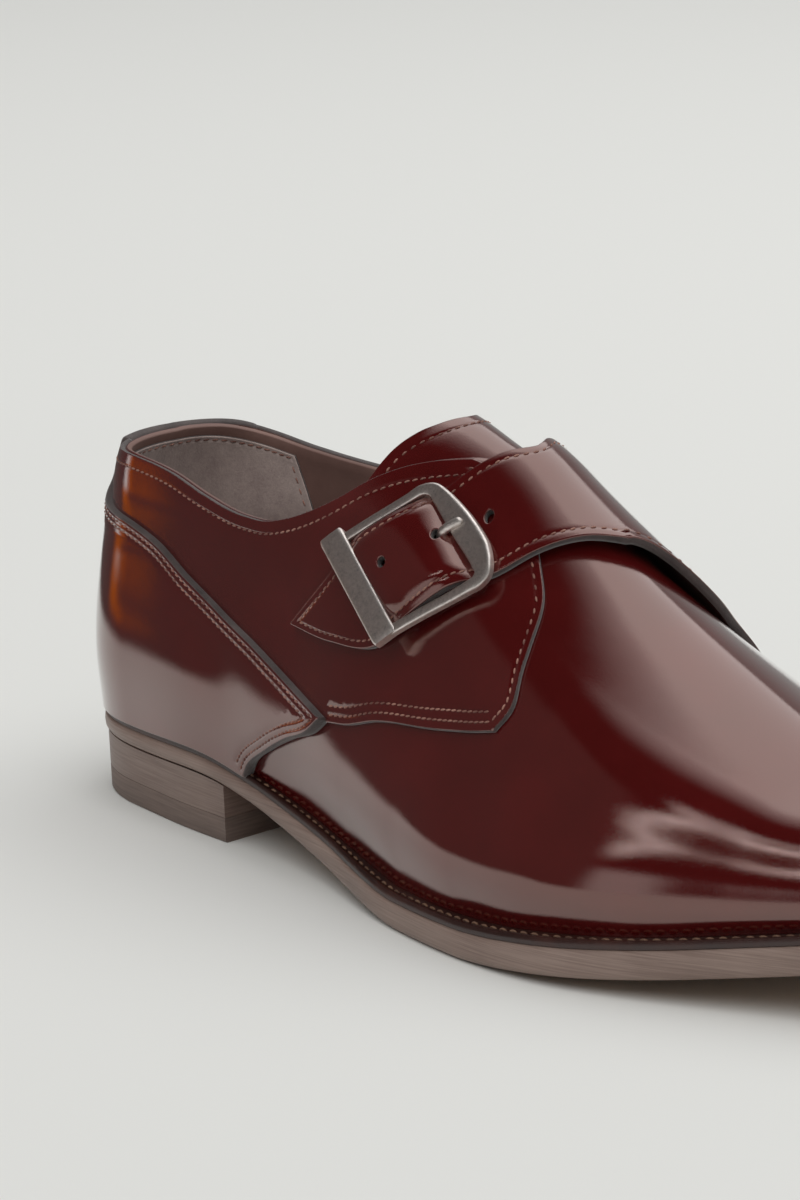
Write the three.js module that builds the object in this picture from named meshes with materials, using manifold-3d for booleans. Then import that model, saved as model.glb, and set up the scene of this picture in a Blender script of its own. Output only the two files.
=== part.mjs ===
// Single monk strap shoe, right foot. Millimetres, +X to the toe, -Y the outer (buckle) side, +Z up.
import * as THREE from "three";
import Module from "manifold-3d";
import { mergeVertices } from "three/addons/utils/BufferGeometryUtils.js";

const wasm = await Module();
wasm.setup();

// ---------------------------------------------------------------- driving sizes
const LENGTH = 294;            // heel back to toe tip, over the sole
const HEEL_CENTRE = 32;        // sections fan about this point round the heel
const TOE_CENTRE = 245;        // and about this one round the toe
const HEEL_ROUND = 2.2;        // superellipse power of the heel in plan
const TOE_ROUND = 2.0;         // superellipse power of the toe in plan
const GAP = 0.3;               // clearance between pieces that touch
const WALL = 1.8;              // upper leather with its lining
const WELT_THICK = 1.9;
const INSOLE_PROUD = 2.2;      // insole surface above the welt
const HEEL_BREAST = 72;        // length of the heel block
const TOP_PIECE = 6.5;         // rubber lift under the heel
const COUNTER_THICK = 2.0;
const QUARTER_THICK = 1.2;
const STRAP_THICK = 1.7;
const TONGUE_THICK = 1.4;
const OUTER = -1;              // the buckle side
const INNER = 1;

// Underside of the sole above the ground, and the height of the sole edge with its welt.
const UNDERSIDE = {
  x: [0, 32, 72, 83, 94, 106, 118, 129, 140, 152, 176, 202, 226, 250, 270, 294],
  z: [16.3, 15.8, 15.1, 12.9, 10.1, 7.2, 4.8, 2.8, 1.2, 0, 0, 1.8, 4.6, 8.5, 12.2, 17.2],
};
const EDGE = {
  x: [0, 72, 94, 114, 141, 170, 294],
  h: [7.0, 7.0, 7.6, 8.4, 8.9, 9.2, 9.4],
};
// Half widths of the sole outline each side of the heel-to-toe line.
const OUTLINE = {
  x: [32, 55, 72, 93, 106, 117, 129, 140, 159, 171, 182, 193, 205, 216, 229, 245],
  outer: [31.5, 34.4, 35.3, 36.3, 38.0, 40.3, 43.7, 47.1, 51.3, 53.0, 53.8, 53.6, 52.2, 49.2, 44.3, 37.2],
  inner: [30.6, 32.5, 32.3, 30.8, 30.6, 31.7, 34.2, 37.4, 42.8, 45.2, 46.9, 47.9, 47.6, 46.0, 42.3, 35.6],
};
// The last, one row per section: ridge height, then half widths at the feather edge, the bulge above
// it, the middle and the shoulder, on the outer and on the inner side.
const SHARE = [0, 0.17, 0.45, 0.78, 1];   // heights of those four and of the ridge, feather to ridge
const KNOTS = [0, 0.18, 0.44, 0.76, 1];   // where they fall along the section
const LAST = {
  x: [32, 55, 78, 102, 126, 150, 174, 197, 221, 245],
  ridge: [120, 118, 117, 116, 114, 106, 90, 77, 65, 53.5],
  outer: [
    [29.2, 32.0, 33.0, 34.4, 39.4, 45.4, 48.9, 48.6, 43.1, 32.7],
    [31.2, 33.8, 35.2, 38.0, 43.4, 49.0, 52.0, 51.4, 45.9, 35.3],
    [28.6, 30.6, 32.2, 34.4, 38.0, 40.0, 42.2, 43.8, 40.6, 32.0],
    [24.2, 25.6, 26.0, 26.2, 25.4, 23.8, 25.0, 27.4, 26.6, 21.6],
  ],
  inner: [
    [28.3, 30.1, 29.2, 27.6, 30.2, 36.4, 41.6, 43.4, 40.4, 31.2],
    [30.2, 32.4, 33.0, 33.0, 35.4, 41.0, 45.6, 46.8, 43.4, 34.0],
    [27.8, 29.8, 30.8, 31.4, 32.6, 35.4, 39.0, 41.2, 38.8, 31.0],
    [23.8, 25.2, 25.4, 25.2, 24.6, 24.0, 25.4, 27.2, 26.4, 21.4],
  ],
};
const HEEL_BACK = { ridge: 120, behind: [28.9, 29.2, 27.0, 17.0] };
const TOE_TIP = { ahead: [45.2, 46.2, 41.0, 24.0] };
const TOE_LEAN = { from: 185, by: 5.2 };   // the toe swings to the inner side past this station

// Lines on the upper in side view, [x, z].
const TOPLINE_OUTER = [
  [-20, 95], [8, 94.5], [12, 93.5], [30, 92.8], [48, 91], [62, 87.8], [75, 85.5], [84, 85.2],
  [93, 86.9], [102, 90.4], [109, 94.4], [114, 98.2], [121, 102], [129, 104.6], [137, 106],
];
const TOPLINE_INNER = [
  [-20, 95], [8, 94.5], [14, 93.9], [18, 91.6], [26, 89], [40, 87.1], [55, 85.9], [70, 85.5],
  [85, 86.5], [100, 89.5], [115, 94], [128, 99], [138, 103.5],
];
const COUNTER_EDGE = [
  [13.2, 97], [12.8, 93], [10.4, 86.5], [9.9, 82.5], [12, 80], [20, 77.8], [32, 75.8], [43, 72.8],
  [57.6, 66.2], [72.5, 60.5], [88.6, 54.7], [103.3, 49.3], [120, 44.2],
];
const COUNTER_FOOT = [[114.6, 39.5], [104.3, 35], [93.7, 29.2], [84.6, 23.2], [82, 15]];
const QUARTER_FOOT = [[120.5, 43], [127.4, 44], [139.1, 47.3], [154.2, 48.9], [167.8, 50.4], [177, 52]];
const QUARTER_FRONT = [[179.4, 57.7], [177.5, 65.3], [175.9, 71.4], [172.9, 79.1], [167.8, 85.8], [158, 97], [147, 104]];
const STRAP_FRONT_INNER = [[190, 53], [190.5, 60], [189, 67], [189, 74], [185, 82], [180, 88], [178, 94]];
const STRAP_OUTER = [
  [149, 140], [149, 110.5], [145.9, 108], [143.2, 105.5], [139.2, 100.5], [129, 91.5], [121, 84.7],
  [115.5, 77.5], [102.1, 63.2], [118.9, 62.4], [133.7, 65.8], [141.5, 73.4], [152, 81.6], [161, 86],
  [167, 89], [172, 91.5], [178, 92.5], [178, 140],
];
const TONGUE_SIDE = [
  [110.5, 96.5], [111.6, 101], [112.2, 105], [113.6, 109], [115.5, 113], [117, 140], [172, 140],
  [172, 84], [150, 86], [130, 90], [117, 93],
];
const THROAT = 152;            // front end of the opening on the ridge

// Buckle corners on the upper: station, share of the section, height of the outer face.
const BUCKLE = {
  rearTop: [115.0, 0.66, 9.0],
  rearLow: [139.6, 0.52, 8.6],
  frontTop: [136.0, 0.845, 7.6],
  frontLow: [160.7, 0.755, 7.2],
};
const CENTRE_BAR = { at: 0.0, radius: 0.9, height: 3.7 };
const LOOP_THICK = 0.7;

// ---------------------------------------------------------------- tables
function curve(xs, ys) {
  const n = xs.length;
  const h = [];
  const d = [];
  for (let i = 0; i < n - 1; i++) {
    h.push(xs[i + 1] - xs[i]);
    d.push((ys[i + 1] - ys[i]) / h[i]);
  }
  const m = [d[0]];
  for (let i = 1; i < n - 1; i++) {
    m.push(d[i - 1] * d[i] <= 0 ? 0 : (h[i] * d[i - 1] + h[i - 1] * d[i]) / (h[i] + h[i - 1]));
  }
  m.push(d[n - 2]);
  return (at) => {
    const x = Math.min(Math.max(at, xs[0]), xs[n - 1]);
    let i = 0;
    while (i < n - 2 && x > xs[i + 1]) i++;
    const u = (x - xs[i]) / h[i];
    const v = 1 - u;
    const ends = (1 + 2 * u) * v * v * ys[i] + u * u * (3 - 2 * u) * ys[i + 1];
    return ends + u * v * h[i] * (v * m[i] - u * m[i + 1]);
  };
}

const underside = curve(UNDERSIDE.x, UNDERSIDE.z);
const edge = curve(EDGE.x, EDGE.h);
const outline = {
  [OUTER]: curve(OUTLINE.x, OUTLINE.outer),
  [INNER]: curve(OUTLINE.x, OUTLINE.inner),
};
const ridge = curve(LAST.x, LAST.ridge);
const halves = {
  [OUTER]: LAST.outer.map((col) => curve(LAST.x, col)),
  [INNER]: LAST.inner.map((col) => curve(LAST.x, col)),
};

function weltTop(x) {
  return underside(x) + edge(x);
}

// Quarter turn round an end: share across and share along, for a station s.
function turn(share, power) {
  const a = share * Math.PI / 2;
  return [Math.max(Math.cos(a), 0) ** (2 / power), Math.sin(a) ** (2 / power)];
}

function slopeAt(f, x) {
  return (f(x) - f(x - 2)) / 2;
}

// Sideways swing of the whole shoe towards the toe.
function lean(x) {
  return TOE_LEAN.by * (Math.max(x - TOE_LEAN.from, 0) / (LENGTH - TOE_LEAN.from)) ** 1.6;
}

// Sole outline in plan at station s, drawn in by an inset.
function solePoint(side, s, inset) {
  const f = outline[side];
  if (s < HEEL_CENTRE) {
    const [across, along] = turn(1 - s / HEEL_CENTRE, HEEL_ROUND);
    const reach = HEEL_CENTRE - inset;
    const y = (f(HEEL_CENTRE) - inset) * across - slopeAt(f, HEEL_CENTRE + 2) * reach * along * (1 - along);
    return [HEEL_CENTRE - reach * along, side * y];
  }
  if (s <= TOE_CENTRE) return [s, side * (f(s) - inset) + lean(s)];
  const [across, along] = turn((s - TOE_CENTRE) / (LENGTH - TOE_CENTRE), TOE_ROUND);
  const reach = LENGTH - TOE_CENTRE - inset;
  const y = (f(TOE_CENTRE) - inset) * across + slopeAt(f, TOE_CENTRE) * reach * along * (1 - along);
  const x = TOE_CENTRE + reach * along;
  return [x, side * y + lean(x)];
}

// ---------------------------------------------------------------- the last
// Control points [dx, dy, z] of a section about its centre.
function section(side, s) {
  const f = halves[side];
  const points = [];
  if (s < HEEL_CENTRE) {
    const [across, along] = turn(1 - s / HEEL_CENTRE, HEEL_ROUND);
    const w = Math.sin((1 - s / HEEL_CENTRE) * Math.PI / 2) ** 2;
    const foot = weltTop(0) * w + weltTop(HEEL_CENTRE) * (1 - w) + GAP;
    const top = HEEL_BACK.ridge * w + ridge(HEEL_CENTRE) * (1 - w);
    for (let i = 0; i < 4; i++) {
      const z = foot + SHARE[i] * (top - foot);
      const reach = HEEL_BACK.behind[i];
      const bend = reach * along * (1 - along);
      const y = f[i](HEEL_CENTRE) * across - slopeAt(f[i], HEEL_CENTRE + 2) * bend;
      points.push([-reach * along, side * y, z - SHARE[i] * slopeAt(ridge, HEEL_CENTRE + 2) * bend]);
    }
    points.push([0, 0, top]);
    return [HEEL_CENTRE, points];
  }
  if (s <= TOE_CENTRE) {
    const foot = weltTop(s) + GAP;
    const top = ridge(s);
    for (let i = 0; i < 4; i++) points.push([0, side * f[i](s), foot + SHARE[i] * (top - foot)]);
    points.push([0, 0, top]);
    return [s, points];
  }
  const [across, along] = turn((s - TOE_CENTRE) / (LENGTH - TOE_CENTRE), TOE_ROUND);
  const top = ridge(TOE_CENTRE);
  const foot = weltTop(Math.min(TOE_CENTRE + TOE_TIP.ahead[0] * along, LENGTH)) + GAP;
  for (let i = 0; i < 4; i++) {
    const reach = TOE_TIP.ahead[i];
    const bend = reach * along * (1 - along);
    const y = f[i](TOE_CENTRE) * across + slopeAt(f[i], TOE_CENTRE) * bend;
    points.push([reach * along, side * y, foot + SHARE[i] * (top - foot + slopeAt(ridge, TOE_CENTRE) * bend)]);
  }
  points.push([0, 0, top]);
  return [TOE_CENTRE, points];
}

// Point of the last at station s and share t of the way from feather edge to ridge.
function lastPoint(side, s, t) {
  const [cx, p] = section(side, s);
  const fall = cx === TOE_CENTRE ? slopeAt(ridge, cx) : cx === HEEL_CENTRE ? slopeAt(ridge, cx + 2) : 0;
  const mirror = [-p[3][0], -p[3][1], p[3][2] - 2 * fall * p[3][0]];
  const knots = [...KNOTS, 2 - KNOTS[3]];
  const all = [...p, mirror];
  let i = 0;
  while (i < 3 && t > KNOTS[i + 1]) i++;
  const tangent = (j, k) => {
    const h1 = knots[j + 1] - knots[j];
    const d1 = (all[j + 1][k] - all[j][k]) / h1;
    if (j === 0) return d1;
    const h0 = knots[j] - knots[j - 1];
    const d0 = (all[j][k] - all[j - 1][k]) / h0;
    return (d0 * h1 + d1 * h0) / (h0 + h1);
  };
  const h = knots[i + 1] - knots[i];
  const u = (t - knots[i]) / h;
  const v = 1 - u;
  const out = [0, 1, 2].map((k) => {
    const ends = (1 + 2 * u) * v * v * all[i][k] + u * u * (3 - 2 * u) * all[i + 1][k];
    return ends + u * v * h * (v * tangent(i, k) - u * tangent(i + 1, k));
  });
  return new THREE.Vector3(cx + out[0], out[1] + lean(cx + out[0]), out[2]);
}

function sideNormal(side, s, t) {
  const s0 = Math.max(s - 0.6, 0.05);
  const s1 = Math.min(s + 0.6, LENGTH - 0.05);
  const t0 = Math.max(t - 0.01, 0);
  const t1 = Math.min(t + 0.01, 1);
  const along = lastPoint(side, s1, t).sub(lastPoint(side, s0, t));
  const up = lastPoint(side, s, t1).sub(lastPoint(side, s, t0));
  return along.cross(up).multiplyScalar(-side).normalize();
}

// Outward normal, the same from both sides along the back, the ridge and the toe.
function lastNormal(side, s, t) {
  if (t > 0.999) {
    const at = Math.min(Math.max(s, HEEL_CENTRE), TOE_CENTRE);
    return sideNormal(OUTER, at, 1).add(sideNormal(INNER, at, 1)).normalize();
  }
  if (s < 0.01 || s > LENGTH - 0.01) {
    return sideNormal(OUTER, s, t).add(sideNormal(INNER, s, t)).normalize();
  }
  return sideNormal(side, s, t);
}

function offLast(side, s, t, height) {
  return lastPoint(side, s, t).addScaledVector(lastNormal(side, s, t), height);
}

// ---------------------------------------------------------------- solids
const HEEL_STEPS = 9;
const MIDDLE_STEPS = 21;
const TOE_STEPS = 9;
const RISE_STEPS = 11;

const STRAP_RISE_STEPS = 17;
const UNDER_BUCKLE = [110, 164];   // stations spaced closely under the buckle
const UNDER_BUCKLE_STEPS = 16;

function stations(fine) {
  const list = [];
  for (let i = 0; i < HEEL_STEPS; i++) list.push(HEEL_CENTRE * i / HEEL_STEPS);
  for (let i = 0; i < MIDDLE_STEPS; i++) {
    const s = HEEL_CENTRE + (TOE_CENTRE - HEEL_CENTRE) * i / MIDDLE_STEPS;
    if (!fine || s < UNDER_BUCKLE[0] - 2 || s > UNDER_BUCKLE[1] + 2) list.push(s);
  }
  if (fine) {
    const step = (UNDER_BUCKLE[1] - UNDER_BUCKLE[0]) / UNDER_BUCKLE_STEPS;
    for (let i = 0; i <= UNDER_BUCKLE_STEPS; i++) list.push(UNDER_BUCKLE[0] + i * step);
    list.sort((p, q) => p - q);
  }
  for (let i = 0; i <= TOE_STEPS; i++) list.push(TOE_CENTRE + (LENGTH - TOE_CENTRE) * i / TOE_STEPS);
  return list;
}

function solidFrom(vertices, faces) {
  const geo = new THREE.BufferGeometry();
  geo.setAttribute("position", new THREE.Float32BufferAttribute(vertices.flat(), 3));
  geo.setIndex(faces.flat());
  const merged = mergeVertices(geo, 1e-3);
  const index = merged.index.array;
  const keep = [];
  for (let i = 0; i < index.length; i += 3) {
    const [a, b, c] = [index[i], index[i + 1], index[i + 2]];
    if (a !== b && b !== c && c !== a) keep.push(a, b, c);
  }
  const mesh = new wasm.Mesh({
    numProp: 3,
    vertProperties: new Float32Array(merged.attributes.position.array),
    triVerts: new Uint32Array(keep),
  });
  mesh.merge();
  return new wasm.Manifold(mesh);
}

// A solid strung through closed rings of points, one ring per station, caps where asked.
function loft(rings, closed) {
  const n = rings[0].length;
  const vertices = rings.flat();
  const faces = [];
  const count = closed ? rings.length : rings.length - 1;
  for (let i = 0; i < count; i++) {
    const a = i * n;
    const b = ((i + 1) % rings.length) * n;
    for (let j = 0; j < n; j++) {
      const k = (j + 1) % n;
      faces.push([a + j, b + j, b + k], [a + j, b + k, a + k]);
    }
  }
  if (!closed) {
    const last = (rings.length - 1) * n;
    for (let j = 1; j < n - 1; j++) {
      faces.push([0, j, j + 1], [last, last + j + 1, last + j]);
    }
  }
  return solidFrom(vertices, faces);
}

// Whole form of the last grown by a height, standing down by a drop below the feather edge.
function form(height, drop, fine = false) {
  const steps = fine ? STRAP_RISE_STEPS : RISE_STEPS;
  const rings = stations(fine).map((s) => {
    const ring = [];
    const push = (p) => ring.push([p.x, p.y, p.z]);
    for (const side of [OUTER, INNER]) {
      const rise = [];
      for (let j = 0; j <= steps; j++) {
        const h = typeof height === "function" ? height(side, s, j / steps) : height;
        rise.push(offLast(side, s, j / steps, h));
      }
      const foot = rise[0].clone();
      foot.z = lastPoint(side, s, 0).z - drop;
      const whole = drop > 0 ? [foot, ...rise] : [foot, ...rise.slice(1)];
      if (side === OUTER) whole.forEach(push);
      else whole.reverse().slice(1).forEach(push);
    }
    return ring;
  });
  const n = rings[0].length;
  const vertices = rings.flat();
  const faces = [];
  for (let i = 0; i < rings.length - 1; i++) {
    for (let j = 0; j < n; j++) {
      const k = (j + 1) % n;
      const [a, b] = [i * n, (i + 1) * n];
      faces.push([a + j, b + k, b + j], [a + j, a + k, b + k]);
    }
  }
  const solid = solidFrom(vertices, faces);
  return solid.volume() < 0 ? solidFrom(vertices, faces.map(([a, b, c]) => [a, c, b])) : solid;
}

// Plate between two heights with its own outline at the top and at the bottom.
function plate(topInset, lowInset, zLow, zTop) {
  const rings = stations().map((s) => {
    const ring = [];
    for (const [side, inset, z] of [
      [OUTER, lowInset, zLow], [OUTER, topInset, zTop], [INNER, topInset, zTop], [INNER, lowInset, zLow],
    ]) {
      const [x, y] = solePoint(side, s, inset(s));
      ring.push([x, y, z(x)]);
    }
    return ring;
  });
  const solid = loft(rings, false);
  return solid.volume() < 0 ? flip(rings, false) : solid;
}

function flip(rings, closed) {
  return loft(rings.map((r) => [...r].reverse()), closed);
}

function upright(rings, closed) {
  const solid = loft(rings, closed);
  return solid.volume() < 0 ? flip(rings, closed) : solid;
}

// Prism through the shoe from a side-view polygon, on one side of the centre line.
function sidePrism(points, side) {
  const area = THREE.ShapeUtils.area(points.map(([x, y]) => new THREE.Vector2(x, y)));
  const ordered = area > 0 ? points : [...points].reverse();
  const solid = wasm.Manifold.extrude([ordered], 90).rotate([90, 0, 0]);
  return side === OUTER ? solid : solid.translate([0, 90, 0]);
}

function box(x0, x1, y0, y1, z0, z1) {
  return wasm.Manifold.cube([x1 - x0, y1 - y0, z1 - z0]).translate([x0, y0, z0]);
}

function rod(a, b, radius, segments) {
  const axis = new THREE.Vector3().subVectors(b, a).normalize();
  const u = new THREE.Vector3(0, 0, 1).cross(axis).normalize();
  const v = new THREE.Vector3().crossVectors(axis, u);
  const rings = [a, b].map((c) => {
    const ring = [];
    for (let i = 0; i < segments; i++) {
      const w = 2 * Math.PI * i / segments;
      const p = c.clone().addScaledVector(u, radius * Math.cos(w)).addScaledVector(v, radius * Math.sin(w));
      ring.push([p.x, p.y, p.z]);
    }
    return ring;
  });
  return upright(rings, false);
}

// ---------------------------------------------------------------- sole and heel
const outsoleTop = (x) => weltTop(x) - WELT_THICK - GAP;
const ledge = (s) => solePoint(OUTER, s, 0)[1] - lastPoint(OUTER, s, 0).y;

function outsole() {
  return plate(() => 0, () => 1.4, underside, outsoleTop);
}

function heelBlock(zLow, zTop) {
  const taper = (z) => 0.8 + 0.9 * (1 - z / 16);
  const top = (x) => zTop(Math.min(x, HEEL_BREAST));
  const solid = plate(() => taper(zTop(40)), () => taper(zLow(40)), zLow, top);
  return solid.intersect(box(-10, HEEL_BREAST, -60, 60, -1, 40));
}

// Plan point of the feather edge, drawn inward.
function featherPoint(side, s, inward) {
  const p = lastPoint(side, s, 0);
  const n = lastNormal(side, s, 0);
  const plan = new THREE.Vector2(n.x, n.y).normalize();
  return [p.x - plan.x * inward, p.y - plan.y * inward];
}

function welt() {
  const rings = [];
  const list = stations();
  const walk = [
    ...list.map((s) => [OUTER, s]),
    ...[...list].reverse().slice(1, -1).map((s) => [INNER, s]),
  ];
  for (const [side, s] of walk) {
    const [ox, oy] = solePoint(side, s, 0.5);
    const [ix, iy] = featherPoint(side, s, WALL + 0.1);
    rings.push([
      [ox, oy, weltTop(ox) - WELT_THICK],
      [ox, oy, weltTop(ox)],
      [ix, iy, weltTop(ix)],
      [ix, iy, weltTop(ix) - WELT_THICK],
    ]);
  }
  return upright(rings, true);
}

function insole() {
  const rings = stations().map((s) => {
    const [ax, ay] = featherPoint(OUTER, s, WALL + 0.45);
    const [bx, by] = featherPoint(INNER, s, WALL + 0.45);
    return [
      [ax, ay, outsoleTop(ax) + GAP],
      [ax, ay, weltTop(ax) + INSOLE_PROUD],
      [bx, by, weltTop(bx) + INSOLE_PROUD],
      [bx, by, outsoleTop(bx) + GAP],
    ];
  });
  return upright(rings, false);
}

// ---------------------------------------------------------------- upper
function collarCut() {
  const outer = sidePrism([...TOPLINE_OUTER, [147, 107.5], [THROAT, 112], [THROAT, 150], [-20, 150]], OUTER);
  const inner = sidePrism([...TOPLINE_INNER, [147, 107.5], [THROAT, 112], [THROAT, 150], [-20, 150]], INNER);
  return outer.add(inner);
}

function upper() {
  return form(0, 0).subtract(form(-WALL, 8)).subtract(collarCut());
}

function shell(low, high) {
  return form(high, 0).subtract(form(low, 8));
}

function counter() {
  const area = [[-20, 10], [-20, 97], ...COUNTER_EDGE, ...COUNTER_FOOT, [82, 10]];
  const cut = sidePrism(area, OUTER).add(sidePrism(area, INNER));
  return shell(GAP, GAP + COUNTER_THICK).intersect(cut).subtract(collarCut());
}

// The counter edge moved forward, so that a neighbour clears it.
const clearOfCounter = COUNTER_EDGE.map(([x, z]) => [x + 0.5, z + 0.45]);

function lateralQuarter() {
  const area = [...clearOfCounter, ...QUARTER_FOOT, ...QUARTER_FRONT, [139.5, 106.4], [137, 130], [13.7, 130]];
  return shell(GAP, GAP + QUARTER_THICK).intersect(sidePrism(area, OUTER)).subtract(collarCut());
}

// Share along the strap inside the buckle, -1 at the rear bar and +1 at the front bar.
function alongBuckle(s, t) {
  const b = BUCKLE;
  const us = (b.frontTop[0] + b.frontLow[0] - b.rearTop[0] - b.rearLow[0]) / 4;
  const ut = (b.frontTop[1] + b.frontLow[1] - b.rearTop[1] - b.rearLow[1]) / 4;
  const vs = (b.rearTop[0] + b.frontTop[0] - b.rearLow[0] - b.frontLow[0]) / 4;
  const vt = (b.rearTop[1] + b.frontTop[1] - b.rearLow[1] - b.frontLow[1]) / 4;
  const cs = (b.rearTop[0] + b.rearLow[0] + b.frontTop[0] + b.frontLow[0]) / 4;
  const ct = (b.rearTop[1] + b.rearLow[1] + b.frontTop[1] + b.frontLow[1]) / 4;
  const det = us * vt - ut * vs;
  return [((s - cs) * vt - (t - ct) * vs) / det, ((t - ct) * us - (s - cs) * ut) / det];
}

// Underside of the strap above the last: low on the inner side, over the quarter on the outer side,
// lifted where it rides over the buckle's centre bar.
function strapHeight(side, s, t) {
  const over = THREE.MathUtils.smoothstep(s, 70, 100) * (1 - THREE.MathUtils.smoothstep(s, 200, 240));
  if (side === INNER) return GAP + 1.6 * over * THREE.MathUtils.smoothstep(t, 0.72, 0.98);
  const [a, b] = alongBuckle(s, t);
  const near = Math.max(0, 1 - THREE.MathUtils.smoothstep(Math.abs(b), 0.9, 1.5));
  return GAP + 1.6 * over + 5.7 * Math.exp(-((a / 0.41) ** 2)) * near * over;
}

function strap() {
  const inner = [...clearOfCounter, ...QUARTER_FOOT.slice(0, -1), ...STRAP_FRONT_INNER, [178, 140], [149, 140],
    [149, 110.5], [146.5, 108], [138, 103.5], [128, 130], [13.7, 130]];
  const cut = sidePrism(inner, INNER).add(sidePrism(STRAP_OUTER, OUTER));
  const open = sidePrism([...TOPLINE_INNER, [146, 108], [148.5, 112], [148.5, 150], [-20, 150]], INNER);
  const outer = form((side, s, t) => strapHeight(side, s, t) + STRAP_THICK, 0, true);
  const under = form(strapHeight, 8, true);
  return outer.subtract(under).intersect(cut).subtract(open);
}

function tongue() {
  const cut = sidePrism(TONGUE_SIDE, OUTER).add(sidePrism(TONGUE_SIDE, INNER));
  return shell(-WALL - GAP - TONGUE_THICK, -WALL - GAP).intersect(cut);
}

// ---------------------------------------------------------------- buckle
// Point of the buckle: a from rear bar (-1) to front (+1), b from lower arm (-1) to upper (+1),
// sunk below the outer face by a depth.
function bucklePoint(a, b, depth) {
  const c = BUCKLE;
  const mix = (k) => ((1 - a) * (1 + b) * c.rearTop[k] + (1 - a) * (1 - b) * c.rearLow[k]
    + (1 + a) * (1 + b) * c.frontTop[k] + (1 + a) * (1 - b) * c.frontLow[k]) / 4;
  return offLast(OUTER, mix(0), Math.min(mix(1), 0.995), mix(2) - depth);
}

// The metal frame in plan, [a, b, half width], walked round once.
const FRAME_PATH = [
  [-0.86, -0.92], [-0.86, -0.5], [-0.86, 0], [-0.86, 0.5], [-0.86, 0.92],
  [-0.5, 0.93], [-0.1, 0.93], [0.3, 0.93], [0.62, 0.92],
  [0.84, 0.78], [0.93, 0.45], [0.97, 0.05], [0.97, -0.35], [0.93, -0.72],
  [0.72, -0.92], [0.3, -0.93], [-0.1, -0.93], [-0.5, -0.93],
];
const FRAME_WIDTH = [
  0.14, 0.14, 0.14, 0.14, 0.14,
  0.075, 0.075, 0.075, 0.09,
  0.16, 0.2, 0.21, 0.2, 0.17,
  0.1, 0.075, 0.075, 0.075,
];
const FRAME_DEPTH = [
  4.2, 4.2, 4.2, 4.2, 4.2,
  2.6, 2.6, 2.6, 2.6,
  2.7, 2.8, 2.8, 2.8, 2.7,
  2.6, 2.6, 2.6, 2.6,
];

function buckleFrame() {
  const n = FRAME_PATH.length;
  const rings = FRAME_PATH.map(([a, b], i) => {
    const prev = FRAME_PATH[(i + n - 1) % n];
    const next = FRAME_PATH[(i + 1) % n];
    const dir = new THREE.Vector2(next[0] - prev[0], next[1] - prev[1]).normalize();
    const out = [-dir.y, dir.x];
    const w = FRAME_WIDTH[i];
    const d = FRAME_DEPTH[i];
    const spots = [[-1, 0.7], [-0.6, 0], [0.6, 0], [1, 0.7], [1, d - 0.3], [-1, d - 0.3]];
    return spots.map(([k, depth]) => {
      const p = bucklePoint(a + out[0] * w * k, b + out[1] * w * k, depth);
      return [p.x, p.y, p.z];
    });
  });
  const ring = upright(rings, true);
  const sunk = (b) => offLastAt(CENTRE_BAR.at, b, CENTRE_BAR.height);
  let bar = rod(sunk(-0.93), sunk(0), CENTRE_BAR.radius, 10).add(rod(sunk(0), sunk(0.93), CENTRE_BAR.radius, 10));
  for (const b of [-0.93, 0.93]) bar = bar.add(rod(sunk(b), bucklePoint(CENTRE_BAR.at, b, 1.3), 1.1, 10));
  return ring.add(bar);
}

// Point inside the buckle at a height above the last rather than below the outer face.
function offLastAt(a, b, height) {
  const c = BUCKLE;
  const mix = (k) => ((1 - a) * (1 + b) * c.rearTop[k] + (1 - a) * (1 - b) * c.rearLow[k]
    + (1 + a) * (1 + b) * c.frontTop[k] + (1 + a) * (1 - b) * c.frontLow[k]) / 4;
  return offLast(OUTER, mix(0), Math.min(mix(1), 0.995), height);
}

const PRONG_ROW = 0.2;         // across the buckle

function sleeve(a, b0, b1, inner, outer) {
  const p = offLastAt(a, b0, CENTRE_BAR.height);
  const q = offLastAt(a, b1, CENTRE_BAR.height);
  const reach = new THREE.Vector3().subVectors(q, p).multiplyScalar(0.1);
  const hole = rod(p.clone().sub(reach), q.clone().add(reach), inner, 12);
  return rod(p, q, outer, 12).subtract(hole);
}

function buckleProng() {
  const eye = sleeve(CENTRE_BAR.at, PRONG_ROW - 0.07, PRONG_ROW + 0.07, CENTRE_BAR.radius + 0.25, 1.9);
  const from = offLastAt(0.1, PRONG_ROW, CENTRE_BAR.height + 0.5);
  const knee = offLastAt(0.42, PRONG_ROW, 7.4);
  const rest = offLastAt(1.0, PRONG_ROW, 9.2);
  const arm = rod(from, knee, 0.95, 10).add(rod(knee, rest, 0.95, 10));
  const joined = eye.add(arm).add(wasm.Manifold.sphere(0.95, 12).translate([knee.x, knee.y, knee.z]));
  const p = offLastAt(CENTRE_BAR.at, PRONG_ROW - 0.2, CENTRE_BAR.height);
  const q = offLastAt(CENTRE_BAR.at, PRONG_ROW + 0.2, CENTRE_BAR.height);
  return joined.subtract(rod(p, q, CENTRE_BAR.radius + 0.25, 12));
}

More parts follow.
